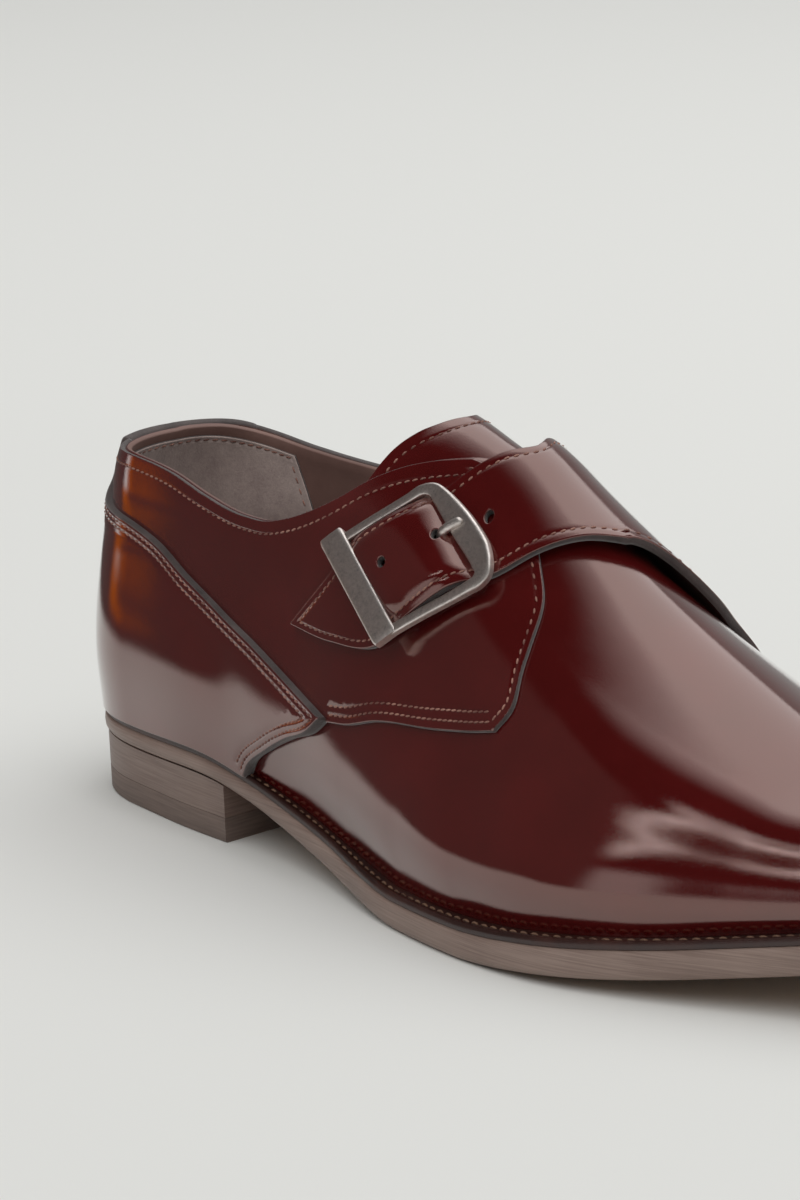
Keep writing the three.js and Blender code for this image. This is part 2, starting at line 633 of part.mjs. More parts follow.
function buckleLoop() {
  let solid = sleeve(CENTRE_BAR.at, -0.5, 0.0, CENTRE_BAR.radius + 0.3, CENTRE_BAR.radius + 0.3 + LOOP_THICK);
  const low = CENTRE_BAR.height - CENTRE_BAR.radius - 0.3 - LOOP_THICK;
  const rings = [-0.46, -0.3, -0.12, 0.02].map((a) => {
    const ring = [];
    for (const [b, h] of [[-0.5, low], [0, low], [0, low + LOOP_THICK], [-0.5, low + LOOP_THICK]]) {
      const p = offLastAt(a, b, h);
      ring.push([p.x, p.y, p.z]);
    }
    return ring;
  });
  solid = solid.add(upright(rings, false));
  const p = offLastAt(CENTRE_BAR.at, -0.6, CENTRE_BAR.height);
  const q = offLastAt(CENTRE_BAR.at, 0.1, CENTRE_BAR.height);
  return solid.subtract(rod(p, q, CENTRE_BAR.radius + 0.3, 12));
}

// ---------------------------------------------------------------- assembly
function meshOf(solid, name, colour, roughness, metalness) {
  const data = solid.getMesh();
  const geo = new THREE.BufferGeometry();
  geo.setAttribute("position", new THREE.BufferAttribute(new Float32Array(data.vertProperties), 3));
  geo.setIndex(new THREE.BufferAttribute(new Uint32Array(data.triVerts), 1));
  const flat = geo.toNonIndexed();
  flat.computeVertexNormals();
  const mesh = new THREE.Mesh(flat, new THREE.MeshStandardMaterial({ color: colour, roughness, metalness }));
  mesh.name = name;
  return mesh;
}

const frameSolid = buckleFrame();
const prongSolid = buckleProng();
const prongHole = rod(offLastAt(0.05, PRONG_ROW, 3.2), offLastAt(0.62, PRONG_ROW, 9.6), 1.5, 12);
const slab = box(-400, 400, -400, 400, -50, 0.0);

const group = new THREE.Group();
group.name = "monk_strap_shoe";
group.add(
  meshOf(heelBlock(() => 0, () => TOP_PIECE), "heel_top_piece", 0x3b3029, 0.7, 0),
  meshOf(heelBlock(() => TOP_PIECE + GAP, (x) => underside(x) - GAP), "heel_stack", 0x5d4c43, 0.55, 0),
  meshOf(outsole().subtract(slab), "outsole", 0x655248, 0.55, 0),
  meshOf(welt(), "welt", 0x2a1512, 0.5, 0),
  meshOf(insole(), "insole", 0x6a5a54, 0.8, 0),
  meshOf(upper(), "upper", 0x4a0f12, 0.12, 0),
  meshOf(tongue(), "tongue", 0x4a0f12, 0.12, 0),
  meshOf(lateralQuarter(), "lateral_quarter", 0x4a0f12, 0.12, 0),
  meshOf(strap().subtract(prongHole), "strap", 0x4a0f12, 0.12, 0),
  meshOf(counter(), "heel_counter", 0x4a0f12, 0.12, 0),
  meshOf(frameSolid, "buckle_frame", 0x9a928c, 0.3, 1),
  meshOf(prongSolid, "buckle_prong", 0x9a928c, 0.3, 1),
  meshOf(buckleLoop(), "buckle_loop", 0x3a1210, 0.5, 0),
);

const bounds = new THREE.Box3().setFromObject(group);
const shift = new THREE.Vector3(
  -(bounds.min.x + bounds.max.x) / 2,
  -(bounds.min.y + bounds.max.y) / 2,
  -bounds.min.z,
);
for (const mesh of group.children) mesh.geometry.translate(shift.x, shift.y, shift.z);

export default group;
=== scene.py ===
import math

import bpy
import numpy as np
from mathutils import Matrix, Vector
from mathutils.geometry import delaunay_2d_cdt


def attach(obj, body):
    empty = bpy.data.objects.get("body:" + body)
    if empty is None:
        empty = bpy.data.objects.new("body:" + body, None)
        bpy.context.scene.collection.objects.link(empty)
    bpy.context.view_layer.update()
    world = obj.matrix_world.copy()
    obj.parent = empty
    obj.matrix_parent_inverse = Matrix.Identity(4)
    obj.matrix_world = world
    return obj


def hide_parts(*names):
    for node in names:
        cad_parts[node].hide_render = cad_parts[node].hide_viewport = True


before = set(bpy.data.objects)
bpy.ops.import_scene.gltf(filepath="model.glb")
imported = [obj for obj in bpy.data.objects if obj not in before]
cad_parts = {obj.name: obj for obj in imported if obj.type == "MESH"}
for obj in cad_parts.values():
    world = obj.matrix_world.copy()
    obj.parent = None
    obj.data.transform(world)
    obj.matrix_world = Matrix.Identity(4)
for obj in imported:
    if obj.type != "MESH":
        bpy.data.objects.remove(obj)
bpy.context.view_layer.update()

# ---------------------------------------------------------------- heel top piece
# The lift that meets the ground: hard rubber, moulded in sheet, nailed under the heel and
# trimmed flush with it. It wears to a dull brown-black with a faint line where it joins.
LENGTH = 294.0
HEEL_CENTRE = 32.0
TOE_CENTRE = 245.0
HEEL_ROUND = 2.2
TOE_ROUND = 2.0
HEEL_BREAST = 72.0
TOP_PIECE = 6.5
BREAST_HOLLOW = 1.6
OUTER, INNER = -1.0, 1.0
CENTRING = np.array([-147.0, 2.89993, 0.0])


def hermite(u, h, a, b, slope_a, slope_b):
    """Smooth run from a to b over a step h, with the slopes given at its two ends."""
    v = 1 - u
    return (1 + 2 * u) * v * v * a + u * u * (3 - 2 * u) * b + u * v * h * (v * slope_a - u * slope_b)


def curve(xs, ys):
    """A smooth line through measured points, flat where the measure turns."""
    xs = np.array(xs, float)
    ys = np.array(ys, float)
    h = np.diff(xs)
    d = np.diff(ys) / h
    m = np.zeros(len(xs))
    m[0], m[-1] = d[0], d[-1]
    for i in range(1, len(xs) - 1):
        if d[i - 1] * d[i] > 0:
            m[i] = (h[i] * d[i - 1] + h[i - 1] * d[i]) / (h[i] + h[i - 1])

    def at(x):
        x = np.clip(x, xs[0], xs[-1])
        i = np.clip(np.searchsorted(xs, x, side="right") - 1, 0, len(xs) - 2)
        return hermite((x - xs[i]) / h[i], h[i], ys[i], ys[i + 1], m[i], m[i + 1])

    return at


underside = curve(
    [0, 32, 72, 83, 94, 106, 118, 129, 140, 152, 176, 202, 226, 250, 270, 294],
    [16.3, 15.8, 15.1, 12.9, 10.1, 7.2, 4.8, 2.8, 1.2, 0, 0, 1.8, 4.6, 8.5, 12.2, 17.2],
)
edge_height = curve([0, 72, 94, 114, 141, 170, 294], [7.0, 7.0, 7.6, 8.4, 8.9, 9.2, 9.4])
OUTLINE_X = [32, 55, 72, 93, 106, 117, 129, 140, 159, 171, 182, 193, 205, 216, 229, 245]
outline_outer = curve(
    OUTLINE_X,
    [31.5, 34.4, 35.3, 36.3, 38.0, 40.3, 43.7, 47.1, 51.3, 53.0, 53.8, 53.6, 52.2, 49.2, 44.3, 37.2],
)
outline_inner = curve(
    OUTLINE_X,
    [30.6, 32.5, 32.3, 30.8, 30.6, 31.7, 34.2, 37.4, 42.8, 45.2, 46.9, 47.9, 47.6, 46.0, 42.3, 35.6],
)


def welt_top(x):
    return underside(x) + edge_height(x)


SWING, SWING_FROM, SWING_POWER = 5.2, 185.0, 1.6


def lean(x):
    """Sideways swing of the shoe to the inner side, past the joint."""
    return SWING * (np.maximum(x - SWING_FROM, 0) / (LENGTH - SWING_FROM)) ** SWING_POWER


def fan(share, power):
    """Across and along shares of a rounded end, for a share of its quarter turn."""
    a = np.clip(share, 0, 1) * np.pi / 2
    return np.maximum(np.cos(a), 0) ** (2 / power), np.sin(a) ** (2 / power)


def slope_at(f, x):
    """Slope of a curve over the 2 mm before x."""
    return (f(x) - f(x - 2)) / 2


def sole_point(side, s, inset):
    """Plan point of the sole outline at station s, drawn in by an inset."""
    side, s, inset = np.broadcast_arrays(np.asarray(side, float), np.asarray(s, float), inset)
    outer = side < 0

    def half(x):
        return np.where(outer, outline_outer(x), outline_inner(x))

    across, along = fan(1 - s / HEEL_CENTRE, HEEL_ROUND)
    heel_x = HEEL_CENTRE - (HEEL_CENTRE - inset) * along
    heel_y = (half(HEEL_CENTRE) - inset) * across
    heel_y = heel_y - slope_at(half, HEEL_CENTRE + 2) * (HEEL_CENTRE - inset) * along * (1 - along)
    across, along = fan((s - TOE_CENTRE) / (LENGTH - TOE_CENTRE), TOE_ROUND)
    reach = LENGTH - TOE_CENTRE - inset
    swell = slope_at(half, TOE_CENTRE) * reach * along * (1 - along)
    toe_x = TOE_CENTRE + reach * along
    toe_y = (half(TOE_CENTRE) - inset) * across + swell
    x = np.where(s < HEEL_CENTRE, heel_x, np.where(s > TOE_CENTRE, toe_x, s))
    y = np.where(s < HEEL_CENTRE, heel_y, np.where(s > TOE_CENTRE, toe_y, half(s) - inset))
    return x, side * y + lean(x)


def weld(points, faces, normals=None):
    """Joins points that coincide and drops the faces that this closes up."""
    points = np.asarray(points, float)
    keys = np.round(points * 2000 + 0.137).astype(np.int64)
    _, first, back = np.unique(keys, axis=0, return_index=True, return_inverse=True)
    back = back.reshape(-1)
    kept, kept_ids = [], []
    for n, face in enumerate(faces):
        loop = []
        for v in face:
            w = int(back[v])
            if not loop or loop[-1] != w:
                loop.append(w)
        if len(loop) > 1 and loop[0] == loop[-1]:
            loop.pop()
        if len(loop) > 2 and len(set(loop)) == len(loop):
            kept.append(loop)
            kept_ids.append(n)
    return points[first], kept, kept_ids, None if normals is None else normals[first]


def volume(points, faces):
    """Six times the enclosed volume, negative when the faces look inward."""
    tris = np.array([(f[0], f[j], f[j + 1]) for f in faces for j in range(1, len(f) - 1)])
    a, b, c = points[tris[:, 0]], points[tris[:, 1]], points[tris[:, 2]]
    return float((a * np.cross(b, c)).sum())


def build(name, points, faces, materials, material_ids=None, normals=None, sharp=None):
    """One closed mesh object from points in shoe millimetres."""
    points, faces, kept_ids, normals = weld(points, faces, normals)
    if volume(points - points.mean(0), faces) < 0:
        faces = [f[::-1] for f in faces]
    mesh = bpy.data.meshes.new(name)
    mesh.from_pydata(((points + CENTRING) / 1000).tolist(), [], faces)
    for material in materials:
        mesh.materials.append(material)
    if material_ids is not None:
        ids = np.asarray(material_ids, np.int32)[kept_ids]
        mesh.polygons.foreach_set("material_index", ids)
    mesh.polygons.foreach_set("use_smooth", np.ones(len(faces), bool))
    mesh.update()
    if sharp:
        mesh.set_sharp_from_angle(angle=math.radians(sharp))
    if normals is not None:
        mesh.normals_split_custom_set_from_vertices(normals.tolist())
    made = bpy.data.objects.new(name, mesh)
    bpy.context.scene.collection.objects.link(made)
    return made


def loft(rings, capped=False):
    """Faces strung between rings of points; the rings are (ring, point, 3)."""
    count, size = rings.shape[:2]
    ids = np.arange(count * size).reshape(count, size)
    ahead = np.roll(ids, -1, axis=1)
    quads = np.stack([ids[:-1], ids[1:], ahead[1:], ahead[:-1]], axis=-1).reshape(-1, 4)
    faces = quads.tolist()
    if capped:
        faces.append(ids[0].tolist())
        faces.append(ids[-1][::-1].tolist())
    return rings.reshape(-1, 3), faces


def srgb(code):
    """Linear colour from a hex code."""
    parts = [int(code[i : i + 2], 16) / 255 for i in (1, 3, 5)]
    return [c / 12.92 if c <= 0.04045 else ((c + 0.055) / 1.055) ** 2.4 for c in parts] + [1.0]


def add_node(tree, kind, settings=None, **links):
    """Adds a node, sets its values and links its sockets; a link is a node or (node, output)."""
    made = tree.nodes.new(kind)
    for key, value in (settings or {}).items():
        if isinstance(key, str) and hasattr(made, key) and key not in made.inputs:
            setattr(made, key, value)
        else:
            made.inputs[key].default_value = value
    for key, source in links.items():
        socket = made.inputs[int(key[1:])] if key[0] == "i" and key[1:].isdigit() else made.inputs[key]
        output = source[0].outputs[source[1]] if isinstance(source, tuple) else source.outputs[0]
        tree.links.new(output, socket)
    return made


def new_material(name):
    """An empty material with its node tree and its output node."""
    material = bpy.data.materials.new(name)
    material.use_nodes = True
    tree = material.node_tree
    tree.nodes.clear()
    output = add_node(tree, "ShaderNodeOutputMaterial")
    return material, tree, output


def ramp(tree, source, stops):
    """A colour ramp with the stops [position, linear colour]."""
    made = add_node(tree, "ShaderNodeValToRGB", i0=source)
    while len(made.color_ramp.elements) < len(stops):
        made.color_ramp.elements.new(0.5)
    for element, (position, colour) in zip(made.color_ramp.elements, stops):
        element.position = position
        element.color = colour
    return made


def grained_edge(name, low, high, roughness, line_mm, run_mm, bump):
    """Trimmed and burnished edge of stacked leather or rubber: fine level lines from the knife."""
    material, tree, output = new_material(name)
    place = add_node(tree, "ShaderNodeTexCoord")
    stretch = (1000 / run_mm, 1000 / run_mm, 1000 / line_mm)
    lines = add_node(tree, "ShaderNodeMapping", {"Scale": stretch}, Vector=(place, "Object"))
    streaks = add_node(
        tree, "ShaderNodeTexNoise", {"Scale": 1.0, "Detail": 4.0, "Roughness": 0.65}, Vector=lines
    )
    cloud = add_node(
        tree, "ShaderNodeTexNoise", {"Scale": 1000 / 22.0, "Detail": 3.0}, Vector=(place, "Object")
    )
    tone = add_node(
        tree, "ShaderNodeMath", {"operation": "MULTIPLY_ADD", 1: 0.65, 2: 0.0}, i0=(streaks, "Fac")
    )
    both = add_node(
        tree, "ShaderNodeMath", {"operation": "MULTIPLY_ADD", 1: 0.35}, i0=(cloud, "Fac"), i2=tone
    )
    colour = ramp(tree, both, [(0.38, srgb(low)), (0.62, srgb(high))])
    lift = add_node(
        tree, "ShaderNodeBump", {"Strength": bump, "Distance": 0.0002}, Height=(streaks, "Fac")
    )
    shine = add_node(
        tree,
        "ShaderNodeMapRange",
        {"From Min": 0.3, "From Max": 0.7, "To Min": roughness - 0.06, "To Max": roughness + 0.08},
        Value=(cloud, "Fac"),
    )
    links = {"Base Color": colour, "Normal": lift, "Roughness": shine}
    shader = add_node(tree, "ShaderNodeBsdfPrincipled", {"IOR": 1.5}, **links)
    tree.links.new(shader.outputs[0], output.inputs["Surface"])
    return material


def heel_ring(inset, height):
    """Closed plan ring of the heel block, its breast slightly hollow; height is a function of x."""
    s = np.concatenate([np.linspace(0, HEEL_CENTRE, 30)[:-1], np.linspace(HEEL_CENTRE, HEEL_BREAST, 17)])
    ox, oy = sole_point(OUTER, s, inset)
    ix, iy = sole_point(INNER, s, inset)
    share = np.linspace(0, 1, 16)[1:-1]
    bx = HEEL_BREAST - BREAST_HOLLOW * np.sin(share * np.pi)
    by = oy[-1] + (iy[-1] - oy[-1]) * share
    x = np.concatenate([ox, bx, ix[::-1][:-1]])
    y = np.concatenate([oy, by, iy[::-1][:-1]])
    return np.stack([x, y, height(np.minimum(x, HEEL_BREAST)) + 0 * x], axis=1)


heel_rubber = grained_edge("moulded heel rubber", "#675750", "#7d6c64", 0.55, 0.5, 14.0, 0.3)

rings = [
    heel_ring(2.5, lambda x: 0.0),
    heel_ring(1.75, lambda x: 0.12),
    heel_ring(1.45, lambda x: 0.6),
    heel_ring(1.22, lambda x: TOP_PIECE - 0.5),
    heel_ring(1.35, lambda x: TOP_PIECE - 0.05),
]
points, faces = loft(np.stack(rings), capped=True)
top_piece = build("heel_top_piece_lift", points, faces, [heel_rubber], sharp=40)
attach(top_piece, "root")
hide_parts("heel_top_piece")

# ---------------------------------------------------------------- heel stack
# Lifts of sole leather glued and nailed one on another, then trimmed, stained taupe-brown and
# burnished, so that the side shows fine level lines with a soft wax gleam.
heel_leather = grained_edge("burnished stacked heel leather", "#735e56", "#8c7970", 0.42, 0.42, 18.0, 0.3)

rings = [
    heel_ring(1.32, lambda x: TOP_PIECE + 0.05),
    heel_ring(1.18, lambda x: TOP_PIECE + 0.5),
    heel_ring(1.0, lambda x: underside(x) * 0.5 + 3.5),
    heel_ring(0.85, lambda x: underside(x) - 1.2),
    heel_ring(0.85, lambda x: underside(x) - 0.02),
]
points, faces = loft(np.stack(rings), capped=True)
heel_stack = build("heel_stack_lifts", points, faces, [heel_leather], sharp=40)
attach(heel_stack, "root")
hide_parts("heel_stack")

# ---------------------------------------------------------------- outsole
# One piece of thick sole leather, stitched to the welt and trimmed; its edge is stained and
# burnished like the heel, with the corners just broken. The bottom is smooth tan leather.
WELT_THICK = 1.9
GAP = 0.3


def outsole_top(x):
    return welt_top(x) - WELT_THICK - GAP + 0.25


def stations(heel=26, middle=72, toe=30):
    """Places along the shoe, spaced closer round its two ends."""
    return np.concatenate(
        [
            np.linspace(0, HEEL_CENTRE, heel)[:-1],
            np.linspace(HEEL_CENTRE, TOE_CENTRE, middle)[:-1],
            np.linspace(TOE_CENTRE, LENGTH, toe),
        ]
    )


sole_leather = grained_edge("burnished sole edge leather", "#7a655c", "#968177", 0.4, 0.45, 24.0, 0.3)
sole_bottom = grained_edge("smooth sole bottom leather", "#8a6647", "#a27c58", 0.5, 6.0, 6.0, 0.15)

# The sole's edge: how far it is drawn in, whether z counts from the top, and z.
SOLE_EDGE = [
    (3.0, 0, 0.0), (1.5, 0, 0.12), (0.7, 0, 0.5), (0.2, 0, 1.2), (0.0, 0, 2.4),
    (0.0, 1, -2.2), (0.1, 1, -1.0), (0.45, 1, -0.3), (1.0, 1, 0.0),
]
s = stations()
columns = []
for side in (OUTER, INNER):
    rise = []
    for inset, from_top, dz in SOLE_EDGE:
        x, y = sole_point(side, s, inset)
        z = (outsole_top(x) if from_top else underside(x)) + dz
        rise.append(np.stack([x, y, np.maximum(z, 0)], axis=1))
    columns.append(rise)
bottom = [columns[1][0] + (columns[0][0] - columns[1][0]) * k / 10 for k in range(1, 10)]
rings = np.stack([*columns[0], *columns[1][::-1], *bottom], axis=1)
points, faces = loft(rings)
ring_size = rings.shape[1]
edge_ids = [0 if k % ring_size < 2 * len(SOLE_EDGE) - 1 else 1 for k in range(len(faces))]
outsole = build("outsole_leather", points, faces, [sole_leather, sole_bottom], edge_ids, sharp=50)
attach(outsole, "root")
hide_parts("outsole")

# ---------------------------------------------------------------- welt
# A strip of dark leather stitched round the whole shoe: the upper is sewn to its inner edge and
# the outsole to its ledge, with a heavy light thread that sits in the wheeled groove.
SHARE = np.array([0, 0.17, 0.45, 0.78, 1])
KNOTS = np.array([0, 0.18, 0.44, 0.76, 1])
LAST_X = [32, 55, 78, 102, 126, 150, 174, 197, 221, 245]
ridge = curve(LAST_X, [120, 118, 117, 116, 114, 106, 90, 77, 65, 53.5])
half_outer = [
    curve(LAST_X, row)
    for row in (
        [29.2, 32.0, 33.0, 34.4, 39.4, 45.4, 48.9, 48.6, 43.1, 32.7],
        [31.2, 33.8, 35.2, 38.0, 43.4, 49.0, 52.0, 51.4, 45.9, 35.3],
        [28.6, 30.6, 32.2, 34.4, 38.0, 40.0, 42.2, 43.8, 40.6, 32.0],
        [24.2, 25.6, 26.0, 26.2, 25.4, 23.8, 25.0, 27.4, 26.6, 21.6],
    )
]
half_inner = [
    curve(LAST_X, row)
    for row in (
        [28.3, 30.1, 29.2, 27.6, 30.2, 36.4, 41.6, 43.4, 40.4, 31.2],
        [30.2, 32.4, 33.0, 33.0, 35.4, 41.0, 45.6, 46.8, 43.4, 34.0],
        [27.8, 29.8, 30.8, 31.4, 32.6, 35.4, 39.0, 41.2, 38.8, 31.0],
        [23.8, 25.2, 25.4, 25.2, 24.6, 24.0, 25.4, 27.2, 26.4, 21.4],
    )
]
HEEL_BACK_RIDGE = 120.0
HEEL_BEHIND = [28.9, 29.2, 27.0, 17.0]
TOE_AHEAD = [45.2, 46.2, 41.0, 24.0]


def end_sizes(rows):
    """Half widths at the two fan centres, and how fast they change there."""
    sizes = []
    for f in rows:
        slopes = slope_at(f, HEEL_CENTRE + 2), slope_at(f, TOE_CENTRE)
        sizes.append(tuple(float(v) for v in (f(HEEL_CENTRE), f(TOE_CENTRE), *slopes)))
    return sizes


ENDS_OUTER, ENDS_INNER = end_sizes(half_outer), end_sizes(half_inner)
FOOT_BACK, FOOT_HEEL = float(welt_top(0)), float(welt_top(HEEL_CENTRE))
RIDGE_HEEL = float(ridge(HEEL_CENTRE))
FALL_HEEL, FALL_TOE = float(slope_at(ridge, HEEL_CENTRE + 2)), float(slope_at(ridge, TOE_CENTRE))


def section(side, s):
    """Centre and the five control points of the last's section at station s, each (dx, dy, z)."""
    outer = side < 0
    heel = s < HEEL_CENTRE
    toe = s > TOE_CENTRE
    centre = np.where(heel, HEEL_CENTRE, np.where(toe, TOE_CENTRE, s))
    h_across, h_along = fan(1 - s / HEEL_CENTRE, HEEL_ROUND)
    t_across, t_along = fan((s - TOE_CENTRE) / (LENGTH - TOE_CENTRE), TOE_ROUND)
    w = np.sin(np.clip(1 - s / HEEL_CENTRE, 0, 1) * np.pi / 2) ** 2
    heel_foot = FOOT_BACK * w + FOOT_HEEL * (1 - w)
    toe_foot = welt_top(np.minimum(TOE_CENTRE + TOE_AHEAD[0] * t_along, LENGTH))
    foot = np.where(heel, heel_foot, np.where(toe, toe_foot, welt_top(s))) + GAP
    heel_ridge = HEEL_BACK_RIDGE * w + RIDGE_HEEL * (1 - w)
    top = np.where(heel, heel_ridge, ridge(np.clip(s, HEEL_CENTRE, TOE_CENTRE)))
    points = np.zeros((5, 3) + s.shape)
    for i in range(4):
        at_heel, at_toe, heel_slope, toe_slope = (
            np.where(outer, o, n) for o, n in zip(ENDS_OUTER[i], ENDS_INNER[i])
        )
        between = np.where(outer, half_outer[i](s), half_inner[i](s))
        h_bend = HEEL_BEHIND[i] * h_along * (1 - h_along)
        t_bend = TOE_AHEAD[i] * t_along * (1 - t_along)
        at_heel = at_heel * h_across - heel_slope * h_bend
        at_toe = at_toe * t_across + toe_slope * t_bend
        half = np.where(heel, at_heel, np.where(toe, at_toe, between))
        points[i, 0] = np.where(heel, -HEEL_BEHIND[i] * h_along, np.where(toe, TOE_AHEAD[i] * t_along, 0))
        points[i, 1] = side * half
        slide = np.where(heel, -FALL_HEEL * h_bend, np.where(toe, FALL_TOE * t_bend, 0))
        points[i, 2] = foot + SHARE[i] * (top - foot + slide)
    points[4, 2] = top
    fall = np.where(heel, FALL_HEEL, np.where(toe, FALL_TOE, 0))
    return centre, points, fall


def last_point(side, s, t):
    """Point of the last at station s, a share t of the way up from the feather edge to the ridge."""
    side, s, t = (a.astype(float).ravel() for a in np.broadcast_arrays(side, s, t))
    centre, p, fall = section(side, s)
    beyond = np.stack([-p[3, 0], -p[3, 1], p[3, 2] - 2 * fall * p[3, 0]])
    p = np.concatenate([p, beyond[None]])
    knots = np.append(KNOTS, 2 - KNOTS[3])
    gaps = np.diff(knots)
    steps = (p[1:] - p[:-1]) / gaps[:, None, None]
    tangents = [steps[0]]
    for j in range(1, 5):
        tangents.append((steps[j - 1] * gaps[j] + steps[j] * gaps[j - 1]) / (gaps[j - 1] + gaps[j]))
    tangents = np.stack(tangents)
    i = np.clip(np.searchsorted(KNOTS[1:4], t), 0, 3)
    row = np.arange(len(s))
    h = gaps[i]
    u = (t - KNOTS[i]) / h
    ends = p[i, :, row], p[i + 1, :, row], tangents[i, :, row], tangents[i + 1, :, row]
    out = hermite(u[:, None], h[:, None], *ends)
    x = centre + out[:, 0]
    return np.stack([x, out[:, 1] + lean(x), out[:, 2]], axis=1)


def unit(v):
    return v / np.maximum(np.linalg.norm(v, axis=-1, keepdims=True), 1e-12)


def side_normal(side, s, t):
    s0, s1 = np.maximum(s - 0.6, 0.05), np.minimum(s + 0.6, LENGTH - 0.05)
    t0, t1 = np.maximum(t - 0.01, 0), np.minimum(t + 0.01, 1)
    along = last_point(side, s1, t) - last_point(side, s0, t)
    up = last_point(side, s, t1) - last_point(side, s, t0)
    return unit(np.cross(along, up) * -side[:, None])


def last_normal(side, s, t):
    """Outward normal, the same from both sides along the back, the ridge and the toe."""
    side, s, t = (a.astype(float).ravel() for a in np.broadcast_arrays(side, s, t))
    out = side_normal(side, s, t)
    top = t > 0.999
    ends = ~top & ((s < 0.01) | (s > LENGTH - 0.01))
    if top.any():
        at = np.clip(s[top], HEEL_CENTRE, TOE_CENTRE)
        one = np.ones(at.shape)
        out[top] = unit(side_normal(-one, at, one) + side_normal(one, at, one))
    if ends.any():
        one = np.ones(int(ends.sum()))
        out[ends] = unit(side_normal(-one, s[ends], t[ends]) + side_normal(one, s[ends], t[ends]))
    return out


def on_last(side, s, t, height):
    return last_point(side, s, t) + last_normal(side, s, t) * np.reshape(height, (-1, 1))


def feather_point(side, s, inward):
    """Plan point of the feather edge, drawn inward."""
    p = last_point(side, s, 0.0)
    n = last_normal(side, s, 0.0)
    plan = unit(n[:, :2])
    return p[:, :2] - plan * inward


# One stitch from end to end: place along it, share of its full thickness, and rise or dip.
GRAIN = [
    (-1.0, 0.0, -0.7), (-0.86, 0.62, -0.42), (-0.45, 0.95, 0.0), (0.0, 1.0, 0.12), (0.45, 0.95, 0.0),
    (0.86, 0.62, -0.42), (1.0, 0.0, -0.7),
]


def stitches(name, centres, along, up, length, width, height, material, slant=0.0):
    """A row of thread lying in its needle holes: one plump grain for each stitch, dipping at its ends."""
    along, up = unit(along), unit(up)
    across = unit(np.cross(up, along))
    along = unit(np.cross(across, up))
    if slant:
        c, q = math.cos(slant), math.sin(slant)
        along, across = along * c + across * q, across * c - along * q
    sides = 6
    rings = []
    for k, swell, dip in GRAIN:
        for j in range(sides):
            a = 2 * math.pi * j / sides
            rings.append(
                centres
                + along * (k * length / 2)
                + across * (math.cos(a) * swell * width / 2)
                + up * ((math.sin(a) * swell + dip) * height / 2)
            )
    rings = np.stack(rings, axis=1)
    count = len(centres)
    size = len(GRAIN) * sides
    ids = np.arange(size).reshape(len(GRAIN), sides)
    ahead = np.roll(ids, -1, axis=1)
    quads = np.stack([ids[:-1], ahead[:-1], ahead[1:], ids[1:]], axis=-1).reshape(-1, 4)
    faces = (quads[None] + (np.arange(count) * size)[:, None, None]).reshape(-1, 4)
    return build(name, rings.reshape(-1, 3), faces.tolist(), [material])


def thread_material(name, low, high, twist_mm):
    """Twisted, waxed thread: its plies show as a fine slanted ribbing."""
    material, tree, output = new_material(name)
    place = add_node(tree, "ShaderNodeTexCoord")
    plies = add_node(
        tree,
        "ShaderNodeTexWave",
        {"bands_direction": "DIAGONAL", "Scale": 1000 / twist_mm / 6.28, "Distortion": 1.5},
        Vector=(place, "Object"),
    )
    cloud = add_node(
        tree, "ShaderNodeTexNoise", {"Scale": 1000 / 7.0, "Detail": 2.0}, Vector=(place, "Object")
    )
    colour = ramp(tree, (cloud, "Fac"), [(0.35, srgb(low)), (0.65, srgb(high))])
    lift = add_node(tree, "ShaderNodeBump", {"Strength": 0.5, "Distance": 0.0002}, Height=(plies, "Fac"))
    links = {"Base Color": colour, "Normal": lift}
    shader = add_node(tree, "ShaderNodeBsdfPrincipled", {"Roughness": 0.5, "IOR": 1.5}, **links)
    tree.links.new(shader.outputs[0], output.inputs["Surface"])
    return material


def run_length(points):
    """Distance walked along a line of points, 0 at its start."""
    return np.concatenate([[0], np.cumsum(np.linalg.norm(np.diff(points, axis=0), axis=1))])


def even_spacing(points, pitch):
    """Centres and directions at an even pitch along a line of points."""
    run = run_length(points)
    count = max(int(run[-1] / pitch), 1)
    at = (np.arange(count) + 0.5) * run[-1] / count

    def where(r):
        return np.stack([np.interp(r, run, points[:, k]) for k in range(points.shape[1])], axis=1)

    return where(at), where(np.minimum(at + 0.05, run[-1])) - where(np.maximum(at - 0.05, 0))


# The welt's section: share of the way in from its outer edge, and rise above the welt's height.
LEDGE = [
    (0.0, -WELT_THICK - 0.02), (-0.06, -WELT_THICK * 0.55), (-0.02, -0.45), (0.06, -0.1), (0.16, 0.02),
    (0.33, 0.0), (0.42, -0.22), (0.5, -0.34), (0.58, -0.22), (0.68, 0.02), (0.8, 0.08), (1.0, 0.1),
    (1.0, -WELT_THICK),
]


def ledge_line(side, s, share, rise):
    """Point on the welt's ledge, from its outer edge (0) to the feather edge of the upper (1)."""
    ox, oy = sole_point(side, s, 0.35)
    inner = feather_point(side, s, 0.6)
    x = ox + (inner[:, 0] - ox) * share
    y = oy + (inner[:, 1] - oy) * share
    return np.stack([x, y, welt_top(x) + rise], axis=1)


def round_shoe(line):
    """Walks a line of stations up the outer side and back down the inner side."""
    s = stations(30, 110, 36)
    return np.concatenate([line(OUTER, s), line(INNER, s[::-1][1:-1])])


